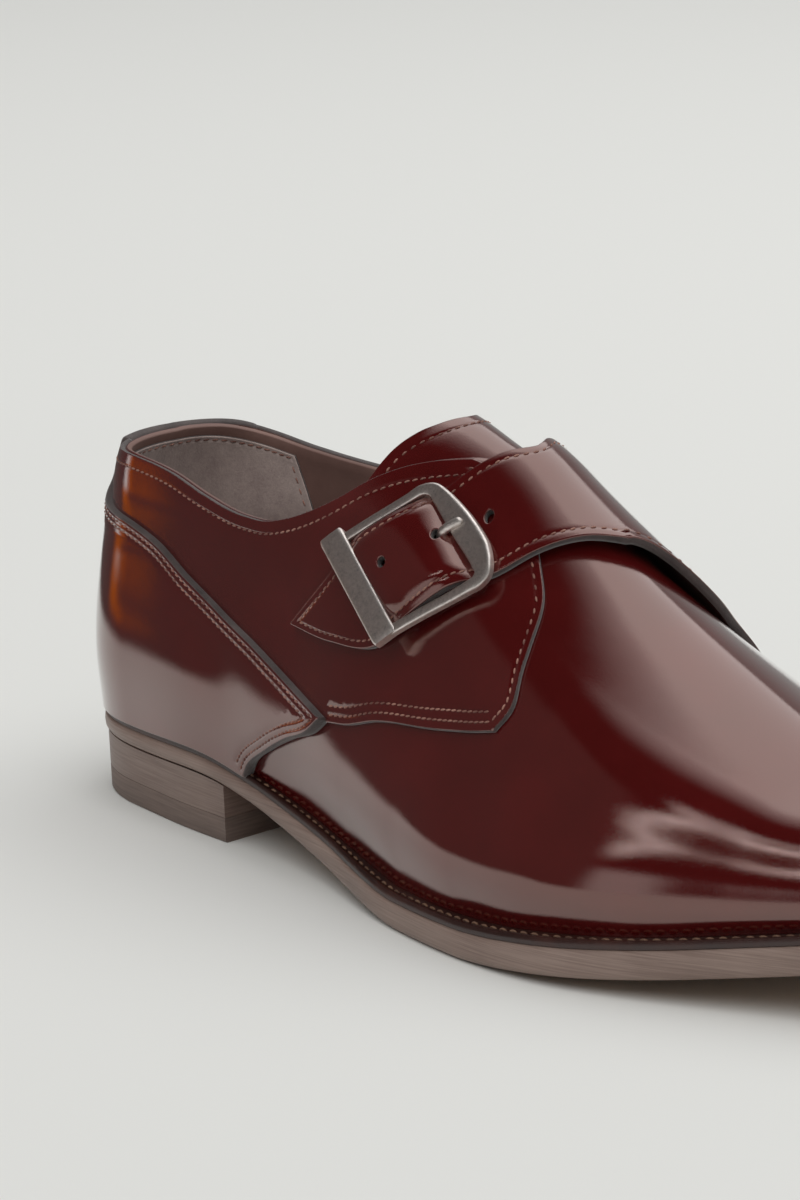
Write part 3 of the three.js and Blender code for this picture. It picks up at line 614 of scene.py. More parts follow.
def leather(name, colours, roughness, coat, grain_mm, grain, wave_mm, wave, glow="#ffffff"):
    """Corrected-grain leather, dyed through and finished with a hard polish: the dye varies softly,
    the pores are almost filled, and the surface is very slightly wavy, so that reflections run."""
    material, tree, output = new_material(name)
    place = add_node(tree, "ShaderNodeTexCoord")
    cloud = add_node(
        tree, "ShaderNodeTexNoise", {"Scale": 1000 / 26.0, "Detail": 4.0, "Roughness": 0.6},
        Vector=(place, "Object"),
    )
    colour = ramp(
        tree, (cloud, "Fac"), [(0.30, srgb(colours[0])), (0.52, srgb(colours[1])), (0.74, srgb(colours[2]))]
    )
    pores = add_node(
        tree, "ShaderNodeTexNoise", {"Scale": 1000 / grain_mm, "Detail": 3.0, "Roughness": 0.7},
        Vector=(place, "Object"),
    )
    swell = add_node(
        tree, "ShaderNodeTexNoise", {"Scale": 1000 / wave_mm, "Detail": 2.0, "Roughness": 0.45},
        Vector=(place, "Object"),
    )
    fine = add_node(
        tree, "ShaderNodeBump", {"Strength": grain, "Distance": 0.00005}, Height=(pores, "Fac")
    )
    settings = {"Strength": wave, "Distance": 0.0005}
    lift = add_node(tree, "ShaderNodeBump", settings, Height=(swell, "Fac"), Normal=fine)
    shine = add_node(
        tree,
        "ShaderNodeMapRange",
        {"From Min": 0.35, "From Max": 0.7, "To Min": roughness, "To Max": roughness * 1.4},
        Value=(cloud, "Fac"),
    )
    shader = add_node(
        tree,
        "ShaderNodeBsdfPrincipled",
        {
            "IOR": 1.5, "Specular IOR Level": 0.5 + 0.5 * coat, "Specular Tint": srgb(glow),
            "Coat Weight": coat, "Coat Roughness": roughness * 0.35, "Coat IOR": 1.75,
        },
        **{"Base Color": colour, "Normal": lift, "Roughness": shine, "Coat Normal": lift},
    )
    tree.links.new(shader.outputs[0], output.inputs["Surface"])
    return material


welt_leather = leather(
    "waxed welt leather", ("#220f0c", "#321813", "#46241c"), 0.38, 0.15, 0.5, 0.6, 6.0, 0.2
)
WELT_PITCH = 3.1
WELT_STITCH = (2.3, 0.75, 0.7)
welt_thread = thread_material("waxed welt thread", "#5c4236", "#8d6d58", 0.5)

rings = np.stack([round_shoe(lambda side, s: ledge_line(side, s, k, dz)) for k, dz in LEDGE], axis=1)
rings = np.concatenate([rings, rings[:1]])
points, faces = loft(rings)
welt = build("welt_strip", points, faces, [welt_leather], sharp=55)
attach(welt, "root")
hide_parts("welt")

row = round_shoe(lambda side, s: ledge_line(side, s, 0.5, -0.12))
row = np.concatenate([row, row[:1]])
centres, along = even_spacing(row, WELT_PITCH)
upward = np.tile([0.0, 0.0, 1.0], (len(centres), 1))
welt_stitch = stitches("welt_stitching", centres, along, upward, *WELT_STITCH, welt_thread)
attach(welt_stitch, "root")

# ---------------------------------------------------------------- insole
# Inside the shoe a full leather sock is glued over the insole; it is plain brown lining leather,
# dished a little where the heel and the ball of the foot rest.
SOCK_THICK, SOCK_DISH, SOCK_CURL = 2.1, 0.7, 0.8
sock_leather = leather(
    "smooth sock leather", ("#4a3b35", "#5a4840", "#6b574d"), 0.55, 0.0, 0.6, 0.8, 9.0, 0.3
)

s = stations(16, 60, 16)
across = np.linspace(0, 1, 15)
outer_line = feather_point(OUTER, s, 1.6)
inner_line = feather_point(INNER, s, 1.6)
top_rows, low_rows = [], []
for k in across:
    plan = outer_line + (inner_line - outer_line) * k
    dish = SOCK_DISH * math.sin(math.pi * k) ** 2
    z = welt_top(plan[:, 0]) + SOCK_THICK + SOCK_CURL * (2 * k - 1) ** 4 - dish
    top_rows.append(np.stack([plan[:, 0], plan[:, 1], z], axis=1))
    low_rows.append(np.stack([plan[:, 0], plan[:, 1], outsole_top(plan[:, 0]) + 0.05], axis=1))
points, faces = loft(np.stack([*top_rows, *low_rows[::-1]], axis=1))
insole = build("insole_sock", points, faces, [sock_leather], sharp=50)
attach(insole, "root")
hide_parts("insole")

# ---------------------------------------------------------------- upper
# The vamp and the hidden backing of the quarters: calf leather with a corrected, hard-polished
# oxblood finish, pulled over the last, and lined inside with smooth dark brown leather.
WALL = 1.8
TOPLINE_OUTER = curve(
    [-20, 8, 12, 30, 48, 62, 75, 84, 93, 102, 109, 114, 121, 129, 137, 147, 152],
    [95, 94.5, 93.5, 92.8, 91, 87.8, 85.5, 85.2, 86.9, 90.4, 94.4, 98.2, 102, 104.6, 106, 107.5, 112],
)
TOPLINE_INNER = curve(
    [-20, 8, 14, 18, 26, 40, 55, 70, 85, 100, 115, 128, 138, 147, 152],
    [95, 94.5, 93.2, 91.4, 88.9, 87.0, 85.9, 85.5, 86.5, 89.5, 94, 99, 103.5, 107.5, 112],
)

STATION_LIST = np.linspace(0, LENGTH, 393)


def run_along(side):
    """Length along the side of the last at each listed station."""
    return run_length(last_point(side, STATION_LIST, 0.4))


def girth_table(side):
    """Lengths of the half sections, walked in 24 steps."""
    total = np.zeros(len(STATION_LIST))
    before = last_point(side, STATION_LIST, 0.0)
    for k in range(1, 25):
        after = last_point(side, STATION_LIST, k / 24)
        total += np.linalg.norm(after - before, axis=1)
        before = after
    return total


ALONG = (run_along(OUTER) + run_along(INNER)) / 2
GIRTH_OUTER, GIRTH_INNER = girth_table(OUTER), girth_table(INNER)


def along_of(s):
    return np.interp(s, STATION_LIST, ALONG)


def station_of(a):
    return np.interp(a, ALONG, STATION_LIST)


def girth(side, s):
    """Length of the half section from the feather edge to the ridge."""
    return np.where(
        side < 0, np.interp(s, STATION_LIST, GIRTH_OUTER), np.interp(s, STATION_LIST, GIRTH_INNER)
    )


def over_ridge(a, b):
    """Flat pattern laid over the ridge, outer side at negative b; gives side, station and share."""
    side = np.where(b < 0, OUTER, INNER)
    s = station_of(a)
    return side, s, np.clip(1 - np.abs(b) / girth(side, s), -0.05, 1)


def round_back(a, b):
    """Flat pattern laid round the back of the heel, outer side at negative a."""
    side = np.where(a < 0, OUTER, INNER)
    s = station_of(np.abs(a))
    return side, s, np.clip(b / girth(side, s), -0.05, 1)


def lay_over_ridge(side, s, t):
    return np.stack([along_of(s), side * (1 - t) * girth(side, s)], axis=1)


def lay_round_back(side, s, t):
    return np.stack([side * along_of(s), t * girth(side, s)], axis=1)


# Soft troughs and ridges: side, path of (x, z) points, width and height in mm.
SOFT_FOLDS = [
    (OUTER, [(188, 60), (196, 48), (203, 36)], 9.0, -0.5),
    (OUTER, [(176, 50), (186, 40), (196, 30)], 7.0, 0.35),
    (OUTER, [(128, 40), (140, 34), (150, 28)], 9.0, -0.4),
    (OUTER, [(60, 60), (72, 50), (80, 40)], 9.0, -0.35),
    (INNER, [(188, 58), (197, 46), (204, 34)], 9.0, -0.5),
    (INNER, [(150, 46), (162, 38), (172, 30)], 8.0, 0.35),
]


def skin(side, s, t, height):
    """Point above the last, with the leather's own soft folds."""
    p = last_point(side, s, t)
    n = last_normal(side, s, t)
    lift = np.reshape(np.asarray(height, float) * np.ones(len(p)), (-1,))
    for fold_side, path, width, rise in folds_3d:
        mine = np.flatnonzero((np.ravel(side * np.ones(len(p))) == fold_side))
        if not len(mine):
            continue
        gap = np.full(len(mine), 1e9)
        for a, b in zip(path[:-1], path[1:]):
            ab = b - a
            u = np.clip(((p[mine] - a) @ ab) / (ab @ ab), 0, 1)
            gap = np.minimum(gap, np.linalg.norm(p[mine] - a - u[:, None] * ab, axis=1))
        lift[mine] += rise * np.exp(-((gap / width) ** 2))
    return p + n * lift[:, None]


STEP_S, STEP_T = 0.2, 0.003


def locate(side, xz, height):
    """Station and share of the place on one side that shows at (x, z) in side view."""
    xz = np.asarray(xz, float)
    side = np.full(len(xz), side)
    s = np.clip(xz[:, 0], 3, 290)
    foot = welt_top(s)
    t = np.clip((xz[:, 1] - foot) / (ridge(s) - foot), 0.03, 0.97)
    for _ in range(14):
        p = on_last(side, s, t, height)
        ps = (on_last(side, s + STEP_S, t, height) - p) / STEP_S
        low = np.minimum(t, 0.996)
        pt = (on_last(side, s, low + STEP_T, height) - on_last(side, s, low, height)) / STEP_T
        rx, rz = xz[:, 0] - p[:, 0], xz[:, 1] - p[:, 2]
        det = ps[:, 0] * pt[:, 2] - ps[:, 2] * pt[:, 0]
        det = np.where(np.abs(det) < 1e-3, 1e-3, det)
        ds = (rx * pt[:, 2] - rz * pt[:, 0]) / det
        dt = (ps[:, 0] * rz - ps[:, 2] * rx) / det
        s = np.clip(s + np.clip(ds, -7, 7) * 0.9, 0.1, LENGTH - 1)
        t = np.clip(t + np.clip(dt, -0.1, 0.1) * 0.9, 0.0, 1.0)
    return side, s, t


folds_3d = [
    (side, on_last(*locate(side, path, 0.0), 0.0), width, rise) for side, path, width, rise in SOFT_FOLDS
]


def topline_share(side, s, height, drop=0.0):
    """Share at which the top line passes station s, 1 where it has met the ridge."""
    side = np.broadcast_to(np.asarray(side, float), s.shape).copy()
    low, high = np.full(s.shape, 0.3), np.ones(s.shape)

    def above(t):
        p = on_last(side, s, t, height)
        line = np.where(side < 0, TOPLINE_OUTER(p[:, 0]), TOPLINE_INNER(p[:, 0]))
        return p[:, 2] - line + drop

    closed = above(high) <= 0
    for _ in range(26):
        mid = (low + high) / 2
        up = above(mid) > 0
        high = np.where(up, mid, high)
        low = np.where(up, low, mid)
    return np.where(closed, 1.0, (low + high) / 2)


def skin_normal(side, s, t, height):
    """Outward normal of the folded leather, taken across the flat pattern over the ridge."""
    out = last_normal(side, s, t)
    near = np.flatnonzero((s > 26) & (s < 238))
    ab = lay_over_ridge(side[near], s[near], t[near])
    step = 0.4
    h = np.broadcast_to(height, s.shape)[near]
    px = skin(*over_ridge(ab[:, 0] + step, ab[:, 1]), h) - skin(*over_ridge(ab[:, 0] - step, ab[:, 1]), h)
    py = skin(*over_ridge(ab[:, 0], ab[:, 1] + step), h) - skin(*over_ridge(ab[:, 0], ab[:, 1] - step), h)
    out[near] = unit(np.cross(px, py))
    return out


oxblood = leather(
    "polished oxblood calf", ("#460a0b", "#4b0c0d", "#520f10"), 0.045, 1.0, 0.42, 0.35, 9.0, 0.05,
    "#ffc4ac",
)
lining = leather(
    "smooth brown lining leather", ("#6b5049", "#785b53", "#87685f"), 0.42, 0.0, 0.5, 0.8, 7.0, 0.3
)

s = stations(30, 130, 40)
sides = np.concatenate([np.full(len(s), OUTER), np.full(len(s) - 2, INNER)])
walk = np.concatenate([s, s[::-1][1:-1]])
cut = topline_share(sides, walk, 0.0)
LEVELS = np.linspace(0, 1, 52)
LOW_LEVELS = np.linspace(1, 0, 22)
# The rounded rim of the shell: height from the outer face, and drop.
RIM = [(-0.12, -0.14), (-0.45, 0.0), (-1.35, 0.0), (-1.68, -0.14)]
RIM_DROP = 0.35


def share_up(level):
    """Share of the way up the shell at a level from 0 to 1, kept just below the rounded rim."""
    below_rim = np.where(cut < 1, cut - RIM_DROP / girth(sides, walk), 1.0)
    return below_rim if level == 1 else cut * level


profile = []
normals = []
zero = np.zeros((len(walk), 3))
foot = skin(sides, walk, 0 * walk, 0.0)
foot[:, 2] -= 0.9
profile.append(foot)
normals.append(zero)
for k in LEVELS:
    share = share_up(k)
    profile.append(skin(sides, walk, share, 0.0))
    normals.append(skin_normal(sides, walk, share, 0.0) if 0 < k < 1 else zero)
rim_from = len(profile) - 1
for h, dz in RIM:
    share = np.where(cut < 1, cut + dz / girth(sides, walk), 1.0)
    profile.append(skin(sides, walk, share, h))
    normals.append(zero)
rim_to = len(profile)
for k in LOW_LEVELS:
    profile.append(skin(sides, walk, share_up(k), -WALL))
    normals.append(zero)
foot = skin(sides, walk, 0 * walk, -WALL)
foot[:, 2] -= 0.9
profile.append(foot)
normals.append(zero)
rings = np.stack(profile, axis=1)
size = rings.shape[1]
rings = np.concatenate([rings, rings[:1]])
points, faces = loft(rings)
all_normals = np.stack(normals, axis=1)
all_normals = np.concatenate([all_normals, all_normals[:1]]).reshape(-1, 3)
kept, ids = [], []
closed_at = np.append(cut >= 1, cut[0] >= 1)
for n, face in enumerate(faces):
    column, level = divmod(n, size)
    if rim_from <= level < rim_to and closed_at[column] and closed_at[column + 1]:
        continue
    kept.append(face)
    ids.append(0 if level < rim_from + 2 else 1)
upper = build("upper_vamp", points, kept, [oxblood, lining], ids, all_normals)
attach(upper, "root")
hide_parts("upper")

# ---------------------------------------------------------------- heel lining
# A piece of grey-taupe suede set inside the heel so that it grips: it is skived thin, glued, and
# its front edges are stitched down to the smooth lining.


def smooth_line(points, spacing=1.0):
    """A smooth line through points, at an even spacing."""
    p = np.asarray(points, float)
    if len(p) == 2:
        count = max(int(np.linalg.norm(p[1] - p[0]) / spacing), 1)
        return p[0] + (p[1] - p[0]) * np.linspace(0, 1, count + 1)[:, None]
    h = np.linalg.norm(np.diff(p, axis=0), axis=1)[:, None]
    d = np.diff(p, axis=0) / h
    m = np.concatenate([d[:1], (d[:-1] * h[1:] + d[1:] * h[:-1]) / (h[1:] + h[:-1]), d[-1:]])
    fine = []
    for i in range(len(p) - 1):
        u = np.linspace(0, 1, 24, endpoint=False)[:, None]
        fine.append(hermite(u, h[i], p[i], p[i + 1], m[i], m[i + 1]))
    fine = np.concatenate([*fine, p[-1:]])
    run = run_length(fine)
    at = np.linspace(0, run[-1], max(int(round(run[-1] / spacing)), 2) + 1)
    return np.stack([np.interp(at, run, fine[:, k]) for k in range(2)], axis=1)


def gap_to(points, starts, ends):
    """Distance from each point to the nearest of many short lines."""
    out = np.full(len(points), 1e9)
    ab = ends - starts
    long2 = np.maximum((ab * ab).sum(1), 1e-12)
    for i in range(0, len(points), 1500):
        p = points[i : i + 1500, None, :]
        u = np.clip(((p - starts) * ab).sum(2) / long2, 0, 1)
        off = p - starts - u[..., None] * ab
        out[i : i + 1500] = np.sqrt((off * off).sum(2).min(1))
    return out


def inside(points, loop):
    """Which points lie within a closed loop."""
    x0, y0 = loop[:, 0], loop[:, 1]
    x1, y1 = np.roll(x0, -1), np.roll(y0, -1)
    out = np.zeros(len(points), bool)
    for i in range(0, len(points), 3000):
        px, py = points[i : i + 3000, 0, None], points[i : i + 3000, 1, None]
        cross = (y0 > py) != (y1 > py)
        with np.errstate(divide="ignore", invalid="ignore"):
            at = x0 + (py - y0) / np.where(y1 == y0, 1, y1 - y0) * (x1 - x0)
        out[i : i + 3000] = (cross & (px < at)).sum(1) % 2 == 1
    return out


def inward(line, loop):
    """Unit directions into the panel along one of its edges."""
    d = np.gradient(line, axis=0)
    n = unit(np.stack([-d[:, 1], d[:, 0]], axis=1))
    mid = len(line) // 2
    probe = line[mid : mid + 1] + n[mid : mid + 1] * 0.3
    return n if inside(probe, loop)[0] else -n


class Panel:
    """A cut piece of leather: a flat pattern laid on the last, with a rolled cut edge all round,
    grooves where it is stitched, punched holes, and its own thickness."""

    def __init__(self, chart, edges, height, under, roll=0.3, sign=1.0, spacing=1.0, raw=0.0):
        self.chart, self.height, self.under, self.roll, self.sign = chart, height, under, roll, sign
        self.raw = raw
        self.edges = [smooth_line(e, spacing) for e in edges]
        self.loop = np.concatenate([e[:-1] for e in self.edges])
        self.rows = []
        self.holes = []

    def row(self, edge, distance, depth=0.14, width=0.42, trim=(0.0, 0.0)):
        """A stitched line at a distance inside one edge, stopping where other edges come near."""
        line = self.edges[edge]
        line = line + inward(line, self.loop) * distance
        starts, ends = self.loop, np.roll(self.loop, -1, axis=0)
        keep = (gap_to(line, starts, ends) > distance * 0.94) & inside(line, self.loop)
        line = line[keep]
        run = run_length(line)
        line = line[(run >= trim[0]) & (run <= run[-1] - trim[1])]
        self.rows.append((line, depth, width))
        return line

    def hole(self, centre, radius):
        """A punched round hole, its edge rolled like the others."""
        self.holes.append((np.asarray(centre, float), radius))

    def height_at(self, ab, edge_gap=None):
        """Height of the outer face above the last at pattern points."""
        h = self.height(ab[:, 0], ab[:, 1]) * np.ones(len(ab))
        gap = gap_to(ab, self.loop, np.roll(self.loop, -1, axis=0)) if edge_gap is None else edge_gap
        for centre, radius in self.holes:
            gap = np.minimum(gap, np.abs(np.linalg.norm(ab - centre, axis=1) - radius) * 1.4)
        r = self.roll
        rolled = r - np.sqrt(np.maximum(r * r - np.maximum(r - gap, 0) ** 2, 0))
        h = h - self.sign * rolled
        for line, depth, width in self.rows:
            if len(line) < 2:
                continue
            near = np.flatnonzero(gap < 12)
            off = gap_to(ab[near], line[:-1], line[1:])
            h[near] -= self.sign * depth * np.exp(-((off / width) ** 2))
        return h

    def at(self, ab):
        """Points of the outer face over pattern points."""
        return skin(*self.chart(ab[:, 0], ab[:, 1]), self.height_at(ab))

    def face_normal(self, ab, step=0.05):
        """Normals of the outer face, grooves and rolled edges included."""
        dx, dy = np.array([step, 0.0]), np.array([0.0, step])
        n = np.cross(self.at(ab + dx) - self.at(ab - dx), self.at(ab + dy) - self.at(ab - dy))
        n = unit(n) * self.sign
        outward = last_normal(*self.chart(ab[:, 0], ab[:, 1])) * self.sign
        return np.where(((n * outward).sum(1) < 0)[:, None], -n, n)

    INSETS = (0.08, 0.2, 0.35, 0.55, 0.8, 1.2, 1.6, 2.0, 2.5, 3.0, 3.5, 4.2)

    def mesh(self, name, materials, step=2.0, insets=INSETS):
        """The closed piece: fine rings of points inside its edges and round its holes, a coarse
        grid between them, a second face below and a cut edge that joins the two."""
        loop = self.loop
        starts, ends = loop, np.roll(loop, -1, axis=0)
        tangent = np.roll(loop, -1, axis=0) - np.roll(loop, 1, axis=0)
        normal = unit(np.stack([-tangent[:, 1], tangent[:, 0]], axis=1))
        if not inside(loop[5:6] + normal[5:6] * 0.2, loop)[0]:
            normal = -normal
        flat = [loop]
        for d in insets:
            ring = loop + normal * d
            ring = ring[(gap_to(ring, starts, ends) > d * 0.97) & inside(ring, loop)]
            apart, last = [], np.array([1e9, 1e9])
            for p in ring:
                if np.abs(p - last).sum() > (0.5 if d < 1 else 0.8):
                    apart.append(p)
                    last = p
            flat.append(np.array(apart).reshape(-1, 2))
        low, high = loop.min(0), loop.max(0)
        gx = np.arange(low[0], high[0], step)
        gy = np.arange(low[1], high[1], step * 0.866)
        grid = np.stack(np.meshgrid(gx, gy), axis=-1)
        grid[1::2, :, 0] += step / 2
        grid = grid.reshape(-1, 2)
        grid = grid[inside(grid, loop)]
        deep = insets[-1] + step * 0.5
        grid = grid[gap_to(grid, starts, ends) > deep]
        flat.append(grid)
        borders = [list(range(len(loop)))]
        cloud = np.concatenate(flat)
        for centre, radius in self.holes:
            a = np.linspace(0, 2 * np.pi, 25)[:-1]
            clear = np.linalg.norm(cloud - centre, axis=1) > radius + 1.1
            cloud = cloud[clear | (np.arange(len(cloud)) < len(loop))]
            for extra in (0.0, 0.12, 0.3, 0.6, 1.0):
                ring = centre + (radius + extra) * np.stack([np.cos(a), np.sin(a)], axis=1)
                if extra == 0.0:
                    borders.append(list(range(len(cloud), len(cloud) + len(ring))))
                cloud = np.concatenate([cloud, ring])
        pairs = [(b[i], b[(i + 1) % len(b)]) for b in borders for i in range(len(b))]
        out = delaunay_2d_cdt([Vector(p) for p in cloud], pairs, [borders[0]], 1, 1e-6)
        ab = np.array([[v.x, v.y] for v in out[0]])
        tris = np.array([list(f) for f in out[2]])
        mid = ab[tris].mean(1)
        keep = inside(mid, loop)
        for centre, radius in self.holes:
            keep &= np.linalg.norm(mid - centre, axis=1) > radius * 0.98
        tris = tris[keep]
        used = np.unique(tris)
        renumber = np.full(len(ab), -1)
        renumber[used] = np.arange(len(used))
        ab, tris = ab[used], renumber[tris]
        top = self.at(ab)
        low = skin(*self.chart(ab[:, 0], ab[:, 1]), self.under(ab[:, 0], ab[:, 1]) * np.ones(len(ab)))
        edge_count = {}
        for a, b, c in tris.tolist():
            for e in ((a, b), (b, c), (c, a)):
                edge_count[e] = edge_count.get(e, 0) + 1
        rim = [e for e in edge_count if (e[1], e[0]) not in edge_count]
        on_rim = np.zeros(len(ab), bool)
        on_rim[[v for e in rim for v in e]] = True
        normals = self.face_normal(ab)
        normals[on_rim] = 0
        n = len(ab)
        mid_ids = {v: 2 * n + k for k, v in enumerate(np.flatnonzero(on_rim).tolist())}
        order = np.flatnonzero(on_rim)
        bulge = self.bulge(ab[order], starts, ends)
        middle = (top[order] + low[order]) / 2 + bulge
        points = np.concatenate([top, low, middle])
        normals = np.concatenate([normals, np.zeros((n + len(order), 3))])
        faces = tris.tolist()
        edge_gap = gap_to(ab[tris].mean(1), starts, ends)
        ids = np.where(edge_gap < self.raw, 1, 0).tolist()
        faces += [[c + n, b + n, a + n] for a, b, c in tris.tolist()]
        ids += [2] * len(tris)
        for a, b in rim:
            faces.append([b, a, mid_ids[a], mid_ids[b]])
            faces.append([mid_ids[b], mid_ids[a], a + n, b + n])
            ids += [1, 1]
        ids = [min(i, len(materials) - 1) for i in ids]
        return build(name, points, faces, materials, ids, normals)

    def bulge(self, ab, starts, ends):
        """The cut edge swells very slightly between its two faces."""
        gaps = []
        for step in ([0.02, 0], [0, 0.02]):
            p = ab + np.array(step)
            gaps.append(gap_to(p, starts, ends) * np.where(inside(p, self.loop), 1, -1))
        away = -unit(np.stack(gaps, axis=1))
        here = self.at(ab)
        there = self.at(ab + away * 0.1)
        return unit(there - here) * 0.12

    def sew(self, name, line, pitch, length, width, height, material, slant=0.16, lift=0.05):
        """Stitches along a row."""
        centres, along = even_spacing(line, pitch)
        p = self.at(centres)
        ahead = self.at(centres + unit(along) * 0.3) - self.at(centres - unit(along) * 0.3)
        up = self.face_normal(centres, 0.2)
        return stitches(name, p + up * lift, ahead, up, length, width, height, material, slant)


def suede(name, colours, nap_mm):
    """Nap of suede: short soft fibres that lie in changing directions, so the tone is cloudy."""
    material, tree, output = new_material(name)
    place = (add_node(tree, "ShaderNodeTexCoord"), "Object")
    settings = {"Scale": 1000 / 9.0, "Detail": 5.0, "Roughness": 0.7}
    cloud = add_node(tree, "ShaderNodeTexNoise", settings, Vector=place)
    settings = {"Scale": 1000 / nap_mm, "Detail": 3.0, "Roughness": 0.8}
    fibre = add_node(tree, "ShaderNodeTexNoise", settings, Vector=place)
    both = add_node(
        tree, "ShaderNodeMath", {"operation": "MULTIPLY_ADD", 1: 0.4}, i0=(fibre, "Fac"),
        i2=add_node(tree, "ShaderNodeMath", {"operation": "MULTIPLY", 1: 0.6}, i0=(cloud, "Fac")),
    )
    colour = ramp(tree, both, [(0.36, srgb(colours[0])), (0.64, srgb(colours[1]))])
    lift = add_node(tree, "ShaderNodeBump", {"Strength": 0.6, "Distance": 0.0002}, Height=(fibre, "Fac"))
    shader = add_node(
        tree,
        "ShaderNodeBsdfPrincipled",
        {"Roughness": 0.92, "IOR": 1.4, "Sheen Weight": 0.35, "Sheen Roughness": 0.5},
        **{"Base Color": colour, "Normal": lift},
    )
    tree.links.new(shader.outputs[0], output.inputs["Surface"])
    return material


def edge_of(side, xz, height, lay):
    """Pattern points of a side-view line."""
    return lay(*locate(side, xz, height))


def topline_points(side, first, last, count, height, lay, drop=0.0):
    """Pattern points along the top line between two stations."""
    s = np.linspace(first, last, count)
    side = np.full(count, side)
    return lay(side, s, topline_share(side, s, height, drop))


# The suede's tone is set lighter than the real suede: painted light standing in for the light that does not
# reach inside the heel.
heel_suede_painted_lighter = suede("brushed heel-lining suede, painted lighter", ("#a08e89", "#c2b0a9"), 0.7)
cut_edge = suede("raw cut leather edge", ("#3a3231", "#5a4f4d"), 0.45)
thread = thread_material("waxed polyester upper thread", "#6b463d", "#a3786a", 0.35)

LINING_FACE, LINING_BACK, LINING_DROP = -2.4, -1.75, 3.1
front_outer = edge_of(OUTER, [(39, 60), (38.5, 74), (38, 83)], LINING_FACE, lay_round_back)
front_inner = edge_of(INNER, [(31, 85), (34.5, 77.5), (38.5, 69), (44, 58)], LINING_FACE, lay_round_back)
along_outer = topline_points(OUTER, 34, 0.0, 12, LINING_FACE, lay_round_back, LINING_DROP)
along_inner = topline_points(INNER, 0.0, 31, 12, LINING_FACE, lay_round_back, LINING_DROP)
top_edge = np.concatenate([along_outer, along_inner[1:]])
foot_edge = np.array([front_inner[-1], [60, 30], [40, 12], [0, 12], [-40, 12], [-50, 30], front_outer[0]])
front_inner = np.concatenate([top_edge[-1:], front_inner[1:]])
front_outer = np.concatenate([front_outer, top_edge[:1]])
heel_lining = Panel(
    round_back, [top_edge, front_inner, foot_edge, front_outer], lambda a, b: LINING_FACE - 0.1,
    lambda a, b: LINING_BACK, roll=0.25, sign=-1.0,
)
seams = [heel_lining.row(1, 2.2, 0.2), heel_lining.row(3, 2.2, 0.2), heel_lining.row(0, 1.1, 0.12)]
insets = (0.1, 0.3, 0.8, 1.5, 2.2, 2.9, 3.8)
made = heel_lining.mesh("heel_lining_suede", [heel_suede_painted_lighter, cut_edge], step=2.5, insets=insets)
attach(made, "root")
for k, line in enumerate(seams):
    made = heel_lining.sew(f"heel_lining_stitching_{k + 1}", line, 3.0, 2.1, 0.5, 0.45, thread)
    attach(made, "root")

# ---------------------------------------------------------------- tongue
# A single layer of the same calf under the strap, joined to the vamp at the front, its free top
# edge rounded off, raw cut, and held by one row of stitching.


def rise_between(x, low, high):
    u = np.clip((x - low) / (high - low), 0, 1)
    return u * u * (3 - 2 * u)


UPPER_STITCH = (2.1, 1.6, 0.55, 0.5)  # pitch, length, width and height
TONGUE_BACK = [(111.4, 93), (112.5, 97.9), (114.8, 105.3), (118.6, 109.5), (122, 111.6)]


def tongue_height(a, b):
    """Height of the tongue's outer face: flush at its free edge, sinking inside the throat."""
    return -2.1 + 1.5 * (1 - rise_between(station_of(a), 118, 140))


top_outer = edge_of(OUTER, TONGUE_BACK, -0.6, lay_over_ridge)
top_inner = edge_of(INNER, TONGUE_BACK[::-1], -0.6, lay_over_ridge)
crown = np.array([[along_of(126.0), 0.0]])
top_edge = np.concatenate([top_outer, crown, top_inner])
hidden = np.array([[along_of(128), 28.0], [along_of(150), 20.0], [along_of(166), 12.0]])
mirrored = hidden[::-1] * [1, -1]
hidden_inner = np.array([top_inner[-1], *hidden])
hidden_front = np.array([hidden[-1], mirrored[0]])
hidden_outer = np.array([*mirrored, top_outer[0]])
tongue = Panel(
    over_ridge,
    [top_edge, hidden_inner, hidden_front, hidden_outer],
    tongue_height,
    lambda a, b: tongue_height(a, b) - 1.3,
)
seam = tongue.row(0, 3.4)
made = tongue.mesh("tongue_leather", [oxblood, cut_edge, lining])
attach(made, "root")
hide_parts("tongue")
made = tongue.sew("tongue_stitching", seam, *UPPER_STITCH, thread)
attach(made, "root")

# ---------------------------------------------------------------- outer quarter
# The quarter on the buckle side, cut from the same calf: single stitched along the top line and
# its front edge, twice along its foot, with the raw edge left dark.
QUARTER_TOP = 1.4
COUNTER_EDGE = [
    (12.8, 93), (10.4, 86.5), (9.9, 82.5), (12, 80), (20, 77.8), (32, 75.8), (43, 72.8), (57.6, 66.2),
    (72.5, 60.5), (88.6, 54.7), (103.3, 49.3), (120, 44.2),
]
QUARTER_FOOT = [(120.5, 43), (127.4, 44), (139.1, 47.3), (154.2, 48.9), (167.8, 50.4), (177, 52)]
QUARTER_FRONT = [
    (177, 52), (179.4, 57.7), (177.5, 65.3), (175.9, 71.4), (172.9, 79.1), (167.8, 85.8), (158, 97),
    (147, 104), (139.6, 105.8),
]
COUNTER_EDGE_INNER = [
    (19.2, 91), (16.6, 86.5), (15.2, 82.5), (16, 80), (21.5, 77.8), *COUNTER_EDGE[5:],
]
tucked = [(x - 0.8, z - 0.9) for x, z in COUNTER_EDGE]
tucked_inner = [(x - 0.8, z - 0.9) for x, z in COUNTER_EDGE_INNER]

